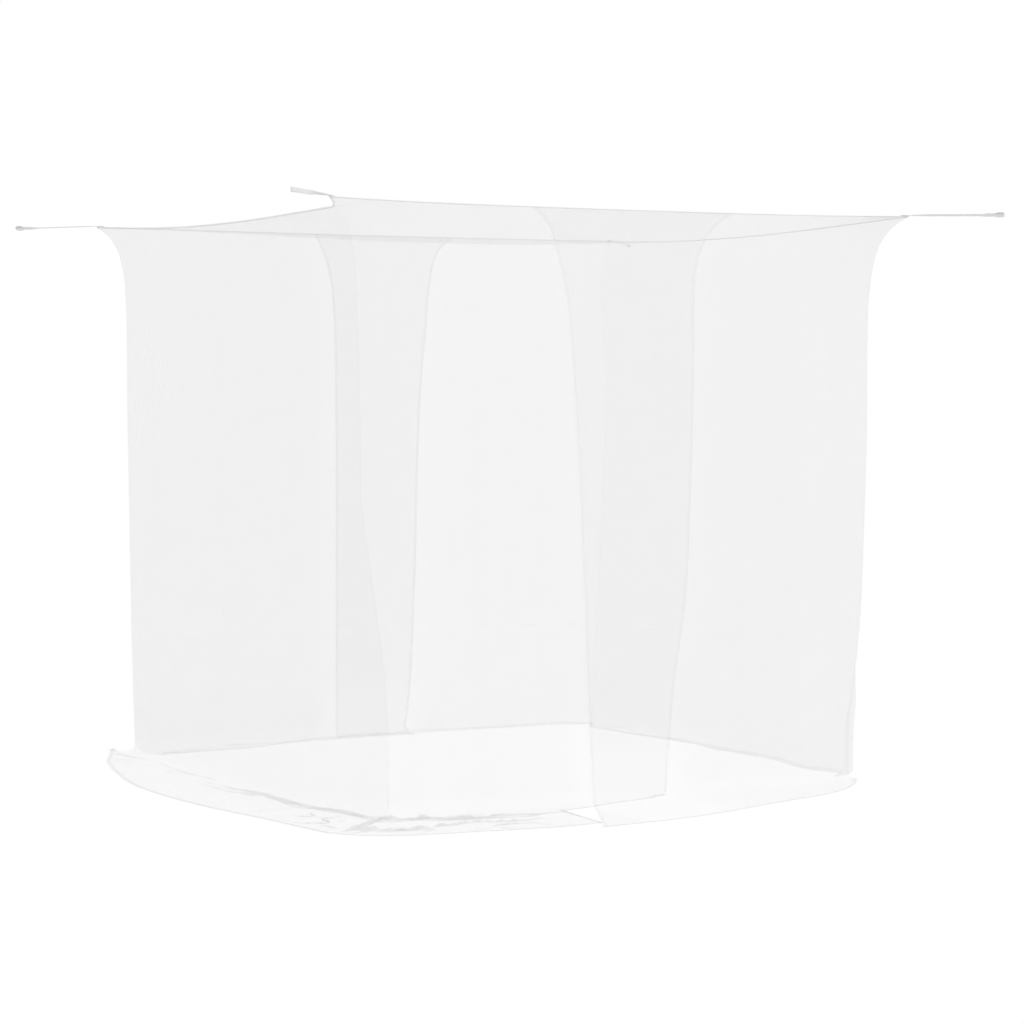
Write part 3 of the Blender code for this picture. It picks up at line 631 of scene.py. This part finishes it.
def end_cloth(name, wall, **lie):
    points = hang(wall, lambda z: wall.ends(z)[0], lambda z: wall.ends(z)[2], **lie)
    made = grid_object(name + "_netting", points, TULLE)
    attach(made, "net")
    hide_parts(name + "_wall")
    return made, points


left_end, left_points = end_cloth(
    "left_end", LEFT, fans=((0.2, 0.96, 0.625, 3), (-0.5, -0.9, -3.2, 8)),
    skirt=rule((-1, 0.05), (-0.93, 0.115), (-0.84, 0.1885), (-0.7, 0.238), (-0.5, 0.286), (-0.2, 0.3365),
               (0.0, 0.3475), (0.44, 0.3345), (0.78, 0.31), (1, 0.3125)),
    bunch_at=rule((-1, 0.0), (1, 0.005)),
    bunch_height=rule((-1, 0.002), (-0.8, 0.004), (-0.3, 0.007), (0.2, 0.012), (0.5, 0.020), (0.8, 0.020),
                      (1, 0.018)),
    crumple=rule((-1, 0.012), (-0.8, 0.006), (-0.6, 0.001), (0.4, 0.001), (0.7, 0.006), (1, 0.014)), seed=1)
right_end, right_points = end_cloth(
    "right_end", RIGHT, fans=((-0.6, -0.9, 1.0, 3), (0.6, 0.9, -1.0, 3)),
    skirt=rule((-1, -0.03), (-0.2, -0.035), (0.0, -0.09), (0.35, -0.12), (0.7, -0.15), (0.9, -0.12),
               (1, -0.04)),
    bunch_height=rule((-1, 0.004), (1, 0.004)),
    belly=rule((-1, 0), (-0.95, 0.050), (-0.88, 0.035), (-0.7, 0), (-0.1, 0), (0.1, 0.04), (0.7, 0.045),
               (1, 0)),
    seed=2)

# Hems: the edge of the tulle is turned twice and sewn down with a lockstitch, so it is several layers thick
# and shows as a denser line. The foot hems of the end walls come first.
HEM_T = 0.0016
HEM_PITCH = 0.0011
HEM = mesh_material("hem", shade=0.90, roughness=0.7, pitch=HEM_PITCH, thread=0.06, least=0.01)
HEM_SECTION = 10
SQUARE_SIDES = 0.45
ROUND_FACES = 0.8


def rounded(x, power):
    return math.copysign(abs(x) ** power, x)


def ribbon(name, edge, inwards, normal, width, thick, finish, lap=0.0):
    """A flat strip with rounded sides that lies along edge and reaches width inwards, thick through.

    width is one number, or a column of them, one for each station.
    """
    place = edge + inwards * (width / 2 - lap)
    count = HEM_SECTION
    rings = []
    for k in range(count):
        angle = 2 * math.pi * (k + 0.5) / count
        x = rounded(math.cos(angle), SQUARE_SIDES) * width / 2
        y = rounded(math.sin(angle), ROUND_FACES) * thick / 2
        rings.append(place + inwards * x + normal * y)
    rings = np.stack(rings, axis=1)
    stations = len(edge)
    along = arc_lengths(edge, 0)
    round_it = np.arange(count + 1) / count * 2 * (np.max(width) + thick)
    faces = []
    flat = []
    for i in range(stations - 1):
        for k in range(count):
            m = (k + 1) % count
            faces.append((i * count + k, i * count + m, (i + 1) * count + m, (i + 1) * count + k))
            flat += [(along[i], round_it[k]), (along[i], round_it[k + 1]), (along[i + 1], round_it[k + 1]),
                     (along[i + 1], round_it[k])]
    last = (stations - 1) * count
    faces.append(tuple(reversed(range(count))))
    faces.append(tuple(range(last, last + count)))
    flat += [(0.0, round_it[k]) for k in reversed(range(count))]
    flat += [(along[-1], round_it[k]) for k in range(count)]
    mesh = bpy.data.meshes.new(name)
    mesh.from_pydata(rings.reshape(-1, 3).tolist(), [], faces)
    mesh.uv_layers.new(name="cloth").data.foreach_set("uv", np.array(flat).ravel())
    work = bmesh.new()
    work.from_mesh(mesh)
    bmesh.ops.recalc_face_normals(work, faces=work.faces)
    work.to_mesh(mesh)
    work.free()
    return finished(name, mesh, finish)


def along_edge(line, inner):
    """Unit vectors for a strip along line: inwards, towards the points inner, and square to the cloth."""
    tangent = unit(np.gradient(line, axis=0))
    inwards = inner - line
    inwards = unit(inwards - tangent * np.sum(inwards * tangent, axis=1, keepdims=True))
    return inwards, np.cross(tangent, inwards)


PLY_SCALE = 900.0
# The two greys of the painted shade and light on the twisted plies.
PLY_PAINTED_SHADES = (0.82, 0.93)


def thread_material():
    """White polyester sewing thread: the twist of its two plies painted on as slanted bands of light and
    shade, darker in the grooves between them.
    """
    made = bpy.data.materials.new("sewing_thread")
    made.use_nodes = True
    tree = made.node_tree
    shader = tree.nodes["Principled BSDF"]
    shader.inputs["Roughness"].default_value = 0.45
    place = node(tree, "ShaderNodeTexCoord")
    # Diagonal bands of painted shade and light along the twist of the plies.
    plies = node(tree, "ShaderNodeTexWave", wave_type="BANDS", bands_direction="DIAGONAL")
    plies.inputs["Scale"].default_value = PLY_SCALE
    tree.links.new(place.outputs["Object"], plies.inputs["Vector"])
    tone_and_painted_shade = node(tree, "ShaderNodeMix", data_type="RGBA")
    tone_and_painted_shade.inputs["A"].default_value = grey(PLY_PAINTED_SHADES[0])
    tone_and_painted_shade.inputs["B"].default_value = grey(PLY_PAINTED_SHADES[1])
    tree.links.new(plies.outputs["Fac"], tone_and_painted_shade.inputs["Factor"])
    tree.links.new(tone_and_painted_shade.outputs["Result"], shader.inputs["Base Color"])
    return made


THREAD = thread_material()
STITCH_SIZES = {"Pitch": 0.0036, "Stitch Length": 0.0028, "Thread Radius": 0.00014, "Depth": 0.0020,
                "Slant": 0.0}
FROM_EDGE = 0.002


def stitch_tree():
    """Geometry nodes that lay a stitch at each pitch along a mesh's edges, its depth along face_way."""
    group = bpy.data.node_groups.new("lockstitch_row", "GeometryNodeTree")
    group_socket(group, "Geometry", "INPUT", "NodeSocketGeometry")
    for name, value in STITCH_SIZES.items():
        group_socket(group, name, "INPUT", "NodeSocketFloat", value)
    group_socket(group, "Unevenness", "INPUT", "NodeSocketFloat", 0.10)
    group_socket(group, "Seed", "INPUT", "NodeSocketInt", 7)
    group_socket(group, "Thread", "INPUT", "NodeSocketMaterial")
    group_socket(group, "Geometry", "OUTPUT", "NodeSocketGeometry")
    link = group.links.new
    source = node(group, "NodeGroupInput").outputs
    line = node(group, "GeometryNodeMeshToCurve")
    spaced = node(group, "GeometryNodeResampleCurve", mode="LENGTH")
    points = node(group, "GeometryNodeCurveToPoints", mode="EVALUATED")
    way = node(group, "GeometryNodeInputNamedAttribute", data_type="FLOAT_VECTOR")
    way.inputs["Name"].default_value = "face_way"
    frame_of = node(group, "FunctionNodeAxesToRotation", primary_axis="X", secondary_axis="Z")
    shape = node(group, "GeometryNodeMeshUVSphere")
    shape.inputs["Segments"].default_value = 6
    shape.inputs["Rings"].default_value = 4
    uneven = node(group, "FunctionNodeRandomValue", data_type="FLOAT")
    laid = node(group, "GeometryNodeInstanceOnPoints")
    turned = node(group, "GeometryNodeRotateInstances")
    whole = node(group, "GeometryNodeRealizeInstances")
    painted = node(group, "GeometryNodeSetMaterial")
    result = node(group, "NodeGroupOutput")
    link(number(group, "SUBTRACT", 1.0, source["Unevenness"]), uneven.inputs[2])
    link(number(group, "ADD", 1.0, source["Unevenness"]), uneven.inputs[3])
    link(source["Seed"], uneven.inputs["Seed"])
    half_length = number(group, "MULTIPLY", source["Stitch Length"], 0.5)
    size = fed(group, node(group, "ShaderNodeCombineXYZ"),
               number(group, "MULTIPLY", half_length, uneven.outputs[1]), source["Thread Radius"],
               number(group, "MULTIPLY", source["Depth"], 0.5))
    link(source["Geometry"], line.inputs["Mesh"])
    link(line.outputs["Curve"], spaced.inputs["Curve"])
    link(source["Pitch"], spaced.inputs["Length"])
    link(spaced.outputs["Curve"], points.inputs["Curve"])
    link(points.outputs["Tangent"], frame_of.inputs[0])
    link(way.outputs["Attribute"], frame_of.inputs[1])
    link(points.outputs["Points"], laid.inputs["Points"])
    link(shape.outputs["Mesh"], laid.inputs["Instance"])
    link(frame_of.outputs[0], laid.inputs["Rotation"])
    link(size, laid.inputs["Scale"])
    link(laid.outputs["Instances"], turned.inputs["Instances"])
    slanted = fed(group, node(group, "ShaderNodeCombineXYZ"), 0.0, 0.0, source["Slant"])
    link(slanted, turned.inputs["Rotation"])
    link(turned.outputs["Instances"], whole.inputs["Geometry"])
    link(whole.outputs["Geometry"], painted.inputs["Geometry"])
    link(source["Thread"], painted.inputs["Material"])
    link(painted.outputs["Geometry"], result.inputs["Geometry"])
    return group


STITCHES = stitch_tree()


def sew(name, lines, **sizes):
    """Rows of stitches as one mesh. Each line is (points, the way the cloth faces at each point)."""
    spots = np.concatenate([spot for spot, _ in lines])
    ways = np.concatenate([way for _, way in lines])
    edges = []
    first = 0
    for spot, _ in lines:
        edges += [(k, k + 1) for k in range(first, first + len(spot) - 1)]
        first += len(spot)
    rows = bpy.data.meshes.new(name + "_rows")
    rows.from_pydata(spots.tolist(), edges, [])
    rows.attributes.new("face_way", "FLOAT_VECTOR", "POINT").data.foreach_set("vector", ways.ravel())
    made = bpy.data.objects.new(name, rows)
    bpy.context.collection.objects.link(made)
    sewing = made.modifiers.new("sewing", "NODES")
    sewing.node_group = STITCHES
    values = {"Thread": THREAD, **sizes}
    for item in STITCHES.interface.items_tree:
        if item.in_out == "INPUT" and item.name in values:
            sewing[item.identifier] = values[item.name]
    done = made.evaluated_get(bpy.context.evaluated_depsgraph_get())
    mesh = bpy.data.meshes.new_from_object(done)
    made.modifiers.remove(sewing)
    made.data = mesh
    mesh.name = name
    mesh.shade_smooth()
    return made


def foot_hem(name, points, width=HEM_W):
    """The hem along a cloth's foot, and the row of stitches that holds it."""
    line = points[-1]
    inwards, normal = along_edge(line, points[-4])
    hem = ribbon(name + "_foot_hem", line, inwards, normal, width, HEM_T, HEM)
    stitches = sew(name + "_foot_stitches", [(line + inwards * (width - FROM_EDGE), normal)])
    return hem, stitches


for name, piece, points in (("left_end", left_end, left_points), ("right_end", right_end, right_points)):
    hem, stitches = foot_hem(name, points)
    for part in (hem, stitches):
        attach(part, "net")
    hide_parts(name + "_hem")

# The four curtains, two to each long wall. Each is one piece of tulle, hemmed along its free edge and its
# foot. The outer one laps over the inner one at the middle. Where they lap, both are drawn a little open,
# because the roof seam holds the two of them in the length of one.
EDGE_HEM_W = 0.010
FRONT_HEM_W = 0.010
FINE_HEM = mesh_material("fine_hem", shade=0.88, roughness=0.7, pitch=HEM_PITCH, thread=0.01, least=0.0)
SQUARE_CUT = 0.008


def square_ended(cut, beside, *knots):
    """A skirt that ends square at cut, where beside gives the length of the curtain's free corner."""
    standing = rule(*knots)

    def at(t):
        past = smooth((t - cut + SQUARE_CUT) / (2 * SQUARE_CUT))
        return standing(t) + (beside(t) - standing(t)) * past

    return at


CURTAINS = {
    "front_outer": dict(
        wall=FRONT, side=-1, hem=FINE_HEM,
        free=rule((0, -0.361), (0.048, -0.303), (0.137, -0.266), (0.227, -0.241), (0.317, -0.224),
                  (0.465, -0.21), (0.725, -0.195), (1.08, -0.178), (1.47, -0.165), (1.94, -0.150)),
        lie=dict(skirt=rule((-0.2, 0.4775), (-0.04, 0.449), (0.1, 0.4085), (0.22, 0.3665), (0.5, 0.2815),
                            (0.743, 0.2195), (0.917, 0.14), (1.0, 0.08)),
                 fans=((0.35, -0.15, -0.50, 3),), crumple=rule((-1, 0), (0.9, 0.001), (1, 0.008)), seed=3)),
    "front_inner": dict(
        wall=FRONT, side=1, hem=FINE_HEM,
        free=rule((0, 0.445), (0.03, 0.380), (0.137, 0.292), (0.218, 0.272), (0.463, 0.264), (0.695, 0.258),
                  (0.961, 0.246), (1.26, 0.228), (1.62, 0.172), (1.94, 0.142)),
        lie=dict(skirt=square_ended(
                     -0.39, rule((-1, 0.14), (-0.36, 0.13), (-0.1, 0.06), (0.05, 0.01), (0.16, -0.035)),
                     (-1.0, 0.19), (-0.95, 0.28), (-0.9, 0.345), (-0.8, 0.385), (-0.7, 0.405), (-0.55, 0.42),
                     (-0.39, 0.41), (1, 0.41)),
                 fans=((-0.365, -0.88, -1.6, 5),),
                 bunch_at=rule((-1, 0.0), (-0.9, 0.05), (-0.75, 0.10), (-0.38, 0.085)),
                 bunch_height=rule((-1, 0.018), (-0.85, 0.017), (-0.7, 0.010), (-0.42, 0.007), (-0.36, 0),
                                   (1, 0)),
                 crumple=rule((-1, 0.018), (-0.7, 0.012), (-0.5, 0.004), (-0.3, 0.001), (0.05, 0.003),
                              (0.16, 0.008)), seed=4)),
    "back_outer": dict(
        wall=BACK, side=-1, hem=HEM,
        free=rule((0, -0.356), (0.055, -0.290), (0.211, -0.248), (0.367, -0.234), (0.639, -0.212),
                  (1.42, -0.193), (1.81, -0.174), (1.94, -0.158)),
        lie=dict(skirt=rule((-0.18, -0.10), (0.2, -0.09), (0.4, -0.12), (0.6, -0.17), (0.8, -0.15),
                            (1.0, -0.12)),
                 fans=((0.7, 0.9, -0.6, 3),), bunch_height=rule((-1, 0.003), (1, 0.006)), seed=5)),
    "back_inner": dict(
        wall=BACK, side=1, hem=HEM,
        free=rule((0, 0.255), (0.067, 0.217), (0.18, 0.182), (0.294, 0.168), (0.638, 0.158), (1.94, 0.149)),
        lie=dict(skirt=rule((-1.0, -0.05), (-0.6, -0.06), (-0.2, -0.035), (0.16, -0.03)),
                 fans=((-0.7, -0.9, 0.8, 3),), bunch_height=rule((-1, 0.003), (1, 0.003)), seed=6)),
}
FOLD_TOP_INSET = 0.010
SEWN_BELOW_SEAM = 0.001
LAP_OPENED = 0.25
LAP_OPENED_LOW = 0.18
LAP_LOW_STARTS = 1.68
LAP_LOW_GROWS = 0.14
LAP_FADES = 0.12

joints = {joint["name"]: joint for joint in frame["joints"]}
for name, curtain in CURTAINS.items():
    wall, side = curtain["wall"], curtain["side"]

    def free(z, at=curtain["free"]):
        return at(-z)

    if side < 0:
        left, right = free, lambda z, wall=wall: wall.ends(z)[2]
    else:
        left, right = lambda z, wall=wall: wall.ends(z)[0], free
    points = hang(wall, left, right, layer=-side, **curtain["lie"])
    netting = grid_object(name + "_netting", points, TULLE)
    pair = name.split("_")[0]
    a = points[..., :2] @ wall.along
    lapped_from = CURTAINS[pair + "_outer"]["free"](-points[..., 2])
    lapped_to = CURTAINS[pair + "_inner"]["free"](-points[..., 2])
    beyond = np.maximum(np.maximum(lapped_from - a, a - lapped_to), 0.0)
    low = smooth((-points[..., 2] - LAP_LOW_STARTS) / LAP_LOW_GROWS)
    opened = (LAP_OPENED + LAP_OPENED_LOW * low) * (1 - smooth(beyond / LAP_FADES))
    netting.data.attributes.new("drawn_open", "FLOAT", "POINT").data.foreach_set("value", opened.ravel())
    line = points[:, 0 if side < 0 else -1]
    inwards, normal = along_edge(line, points[:, 6 if side < 0 else -7])
    side_hem = ribbon(name + "_side_hem", line, inwards, normal, EDGE_HEM_W, HEM_T, curtain["hem"])
    for spot in side_hem.data.vertices:
        under = wall.seam_z(np.array([spot.co.xy @ Vector(wall.along)]))[0]
        spot.co.z = min(spot.co.z, under)
    row = line + inwards * (EDGE_HEM_W - FROM_EDGE)
    sewn = row[:, 2] < wall.seam_z(row[:, :2] @ wall.along) - SEWN_BELOW_SEAM
    side_stitches = sew(name + "_side_stitches", [(row[sewn], normal[sewn])])
    hem, stitches = foot_hem(name, points, FRONT_HEM_W if wall is FRONT else HEM_W)
    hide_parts(name + "_panel", name + "_flap")
    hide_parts(name + "_hem", name + "_flap_hem")
    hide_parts(name + "_edge_hem", name + "_edge_hem_top")
    foot = np.array(joints[name + "_fold"]["pos_m"])
    seam_end = free(np.array([0.0]))[0] - side * FOLD_TOP_INSET
    pinned = wall.place(seam_end, wall.distance(np.array([seam_end]), np.zeros(1))[0], 0.0)
    out = np.append(wall.out, 0.0)
    to_flap = np.cross(unit(pinned - foot), out)
    to_flap *= np.sign(to_flap[:2] @ wall.along) * side
    for piece in (netting, hem, stitches, side_hem, side_stitches):
        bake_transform(piece)

# The roof seams: a narrow woven tape is folded over the edges of the roof and the walls and sewn through
# along both its edges, in one run from corner to corner. The front one is folded narrower.
BINDING_W = {"front": 0.0042, "right": 0.0050, "back": 0.0050, "left": 0.0060}
BINDING_T = 0.0022
ROW_FROM_TOP = 0.0012
ROW_FROM_FOOT = 0.0018
BINDING_STATIONS = 280
BINDING_REACH = 0.9985


def woven_tape_group():
    """Plain weave: the height of the yarns, which also darkens the low yarns as painted shade, and a cover
    that is Least in the pinholes.
    """
    group, source, result = pattern_group("woven_tape", Warp_Pitch=0.0008, Weft_Pitch=0.0007, Pinhole=0.25,
                                          Least=0.0)
    place = node(group, "ShaderNodeSeparateXYZ")
    group.links.new(source.outputs["Place"], place.inputs[0])
    along = number(group, "DIVIDE", place.outputs[0], source.outputs["Weft Pitch"])
    across = number(group, "DIVIDE", place.outputs[1], source.outputs["Warp Pitch"])
    weft, warp = (number(group, "ABSOLUTE", number(group, "SINE", number(group, "MULTIPLY", way, math.pi)))
                  for way in (along, across))
    yarn = number(group, "ADD", number(group, "FLOOR", along), number(group, "FLOOR", across))
    turn = number(group, "PINGPONG", yarn, 1.0)
    over = number(group, "MULTIPLY", warp, turn)
    under = number(group, "MULTIPLY", weft, number(group, "SUBTRACT", 1.0, turn))
    height = number(group, "ADD", over, under)
    mask = number(group, "GREATER_THAN", number(group, "MAXIMUM", weft, warp), source.outputs["Pinhole"])
    # The yarn height is put out as the tone as well: painted shade, darker where a yarn dips under the next.
    pattern_outputs(group, source, result, height, mask, height)
    return group


WOVEN_TAPE = woven_tape_group()
# Woven tapes: the low yarns are painted a fifth darker than the high ones, as shade in the weave.
WOVEN_LOOK = dict(group=WOVEN_TAPE, spread=(0.80, 1.0), specular=0.3, bump=(0.0003, 0.3))
BINDING, _ = cloth_material("binding_tape", shade=0.94, roughness=0.7, Warp_Pitch=0.0007, Weft_Pitch=0.0006,
                            Pinhole=0.955, Least=0.0, **WOVEN_LOOK)
for name, wall in (("front", FRONT), ("right", RIGHT), ("back", BACK), ("left", LEFT)):
    width = BINDING_W[name]
    t = BINDING_REACH * np.sin(math.pi / 2 * np.linspace(-1, 1, BINDING_STATIONS))
    upper = wall.on_seam(t, 0.0)
    inwards, normal = along_edge(upper, wall.on_seam(t, width))
    binding = ribbon(name + "_roof_binding", upper, inwards, normal, width, BINDING_T, BINDING, lap=0.0005)
    rows = [(upper + inwards * down, normal) for down in (ROW_FROM_TOP, width - ROW_FROM_FOOT)]
    stitches = sew(name + "_binding_stitches", rows, Depth=0.0027)
    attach(binding, "net")
    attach(stitches, "net")
    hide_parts(name + "_roof_seam")

# The upright seams, where two walls are sewn together with an overlocked edge, from the corner to the floor.
# The front right one draws up the cloth beside its foot.
RIB_W = 0.0030
RIB_T = 0.0020
RIB_STARTS = 0.004
RIB_ABOVE_FLOOR = 0.012
GATHERED = ((2.2, 1.2, 0.35), (2.0, 1.6, 0.3))
OVERLOCK = dict(Pitch=0.0050, Depth=0.0022, Slant=0.9)
for name in CORNER_SIDE:
    depth = np.concatenate([np.linspace(RIB_STARTS, 0.2, 60),
                            np.linspace(0.21, HANG_HEIGHT - RIB_ABOVE_FLOOR, 160)])
    line = np.concatenate([corner_at(name, depth), -depth[:, None]], axis=1)
    outwards = np.append(np.array(CORNER_SIDE[name]) / math.sqrt(2), 0.0)
    inwards, normal = along_edge(line, line - outwards)
    width = RIB_W
    if name == "front_right":
        gathered = sum(more * smooth((depth - start) / grows) for more, start, grows in GATHERED)
        width = RIB_W * (1 + gathered[:, None])
    rib = ribbon(name + "_upright_seam", line, inwards, normal, width, RIB_T,
                 HEM if name == "front_right" else FINE_HEM, lap=width / 2)
    overlock = sew(name + "_overlock", [(line, normal)], **OVERLOCK)
    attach(rib, "net")
    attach(overlock, "net")
    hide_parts(name + "_corner_seam")

# The hanging tapes: woven tape sewn flat on the roof corner, turned on edge by its pull, its end folded back
# about an open eye and held by a box of stitches.
TAPE_LENGTH = 0.325
TAPE_W = 0.0145
TAPE_T = 0.0014
TAPE_SEWN = 0.028
TAPE_DOUBLED = 0.035
TAPE_ABOVE = 0.0029
TAPE_COMES_DOWN = 0.30
EYE_LENGTH = 0.030
EYE_HALF_WIDTH = 0.0052
EYE_TURN = math.pi * 0.86
EYE_STARTS = TAPE_LENGTH - EYE_LENGTH
PLY = TAPE_T / 2 + 0.0001
PLIES_PART = 0.02
TAPE_STEP = 0.002
EYE_ROUND = 0.8
TWIST_ENDS = 0.27
BOX_HALF_WIDTH = 0.0052
BOX_INSET = 0.003
WEBBING, _ = cloth_material("webbing", shade=0.89, roughness=0.75, Warp_Pitch=0.0011, Weft_Pitch=0.0009,
                            Pinhole=0.12, Least=0.90, **WOVEN_LOOK)
TAPE_TWIST = {"front_left": rule((0.0, 0.0), (0.05, 0.35), (0.12, 0.6), (0.19, 1.57), (0.26, 1.57)),
              "front_right": rule((0.0, 0.0), (0.03, -0.25), (0.07, -0.42), (0.24, -0.45), (0.27, -0.70)),
              "back_right": rule((0.0, 0.0), (0.05, 0.35), (0.22, 0.45), (0.27, 0.9)),
              "back_left": rule((0.0, 0.0), (0.05, 0.12), (0.22, 0.15), (0.27, 0.60))}


def tape_path():
    """The tape's middle line seen from above: (distance beyond the tip, distance aside), out and back."""
    doubled = EYE_STARTS - TAPE_DOUBLED
    path = [(s, 0.0) for s in np.linspace(-TAPE_SEWN, doubled - PLIES_PART, 70)]
    path += [(s, PLY * smooth((s - EYE_STARTS + TAPE_DOUBLED + PLIES_PART) / PLIES_PART))
             for s in np.linspace(doubled - PLIES_PART + TAPE_STEP, EYE_STARTS - TAPE_STEP, 24)]
    middle = TAPE_LENGTH - EYE_LENGTH / 2 + 0.001
    for angle in np.linspace(EYE_TURN, -EYE_TURN, 40):
        path.append((middle + rounded(math.cos(angle), EYE_ROUND) * (EYE_LENGTH / 2 - 0.0002),
                     rounded(math.sin(angle), EYE_ROUND) * EYE_HALF_WIDTH))
    path += [(s, -PLY) for s in np.linspace(EYE_STARTS - TAPE_STEP, doubled, 22)]
    return np.array(path)


def tape_height(s):
    return TAPE_ABOVE * (1 - smooth(s / TAPE_COMES_DOWN))


for name, side in CORNER_SIDE.items():
    tip = np.append(corner_tip(name), 0.0)
    outwards = np.append(side, 0.0) / math.sqrt(2)
    up = np.array([0, 0, 1.0])
    across = np.cross(up, outwards)
    s, aside = tape_path().T
    turn = TAPE_TWIST[name](np.minimum(s, TWIST_ENDS))[:, None]
    wide = across * np.cos(turn) + up * np.sin(turn)
    open_way = across * np.sin(turn) - up * np.cos(turn)
    line = tip + outwards * s[:, None] + open_way * aside[:, None] + up * tape_height(s)[:, None]
    tangent = unit(np.gradient(line, axis=0))
    wide = unit(wide - tangent * np.sum(wide * tangent, axis=1, keepdims=True))
    strap = ribbon(name + "_tape", line, wide, np.cross(tangent, wide), TAPE_W, TAPE_T, WEBBING,
                   lap=TAPE_W / 2)
    boxes = []
    for start, stop, face, broad in (
            (EYE_STARTS - TAPE_DOUBLED + BOX_INSET, EYE_STARTS - BOX_INSET, open_way[-1], wide[-1]),
            (-TAPE_SEWN + BOX_INSET, -0.004, up, across)):
        low, high = -BOX_HALF_WIDTH, BOX_HALF_WIDTH
        around = ((start, low), (stop, low), (stop, high), (start, high), (start, low), (stop, high))
        for (s0, w0), (s1, w1) in zip(around, around[1:]):
            ends = np.linspace(0, 1, 12)[:, None]
            sideways = broad * (w0 + (w1 - w0) * ends)
            spots = tip + up * tape_height(stop) + outwards * (s0 + (s1 - s0) * ends) + sideways
            boxes.append((spots, np.repeat(face[None], 12, axis=0)))
    stitches = sew(name + "_tape_stitches", boxes, Pitch=0.0030, Depth=0.0036)
    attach(strap, "net")
    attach(stitches, "net")
    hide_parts(name + "_hanging_tape")
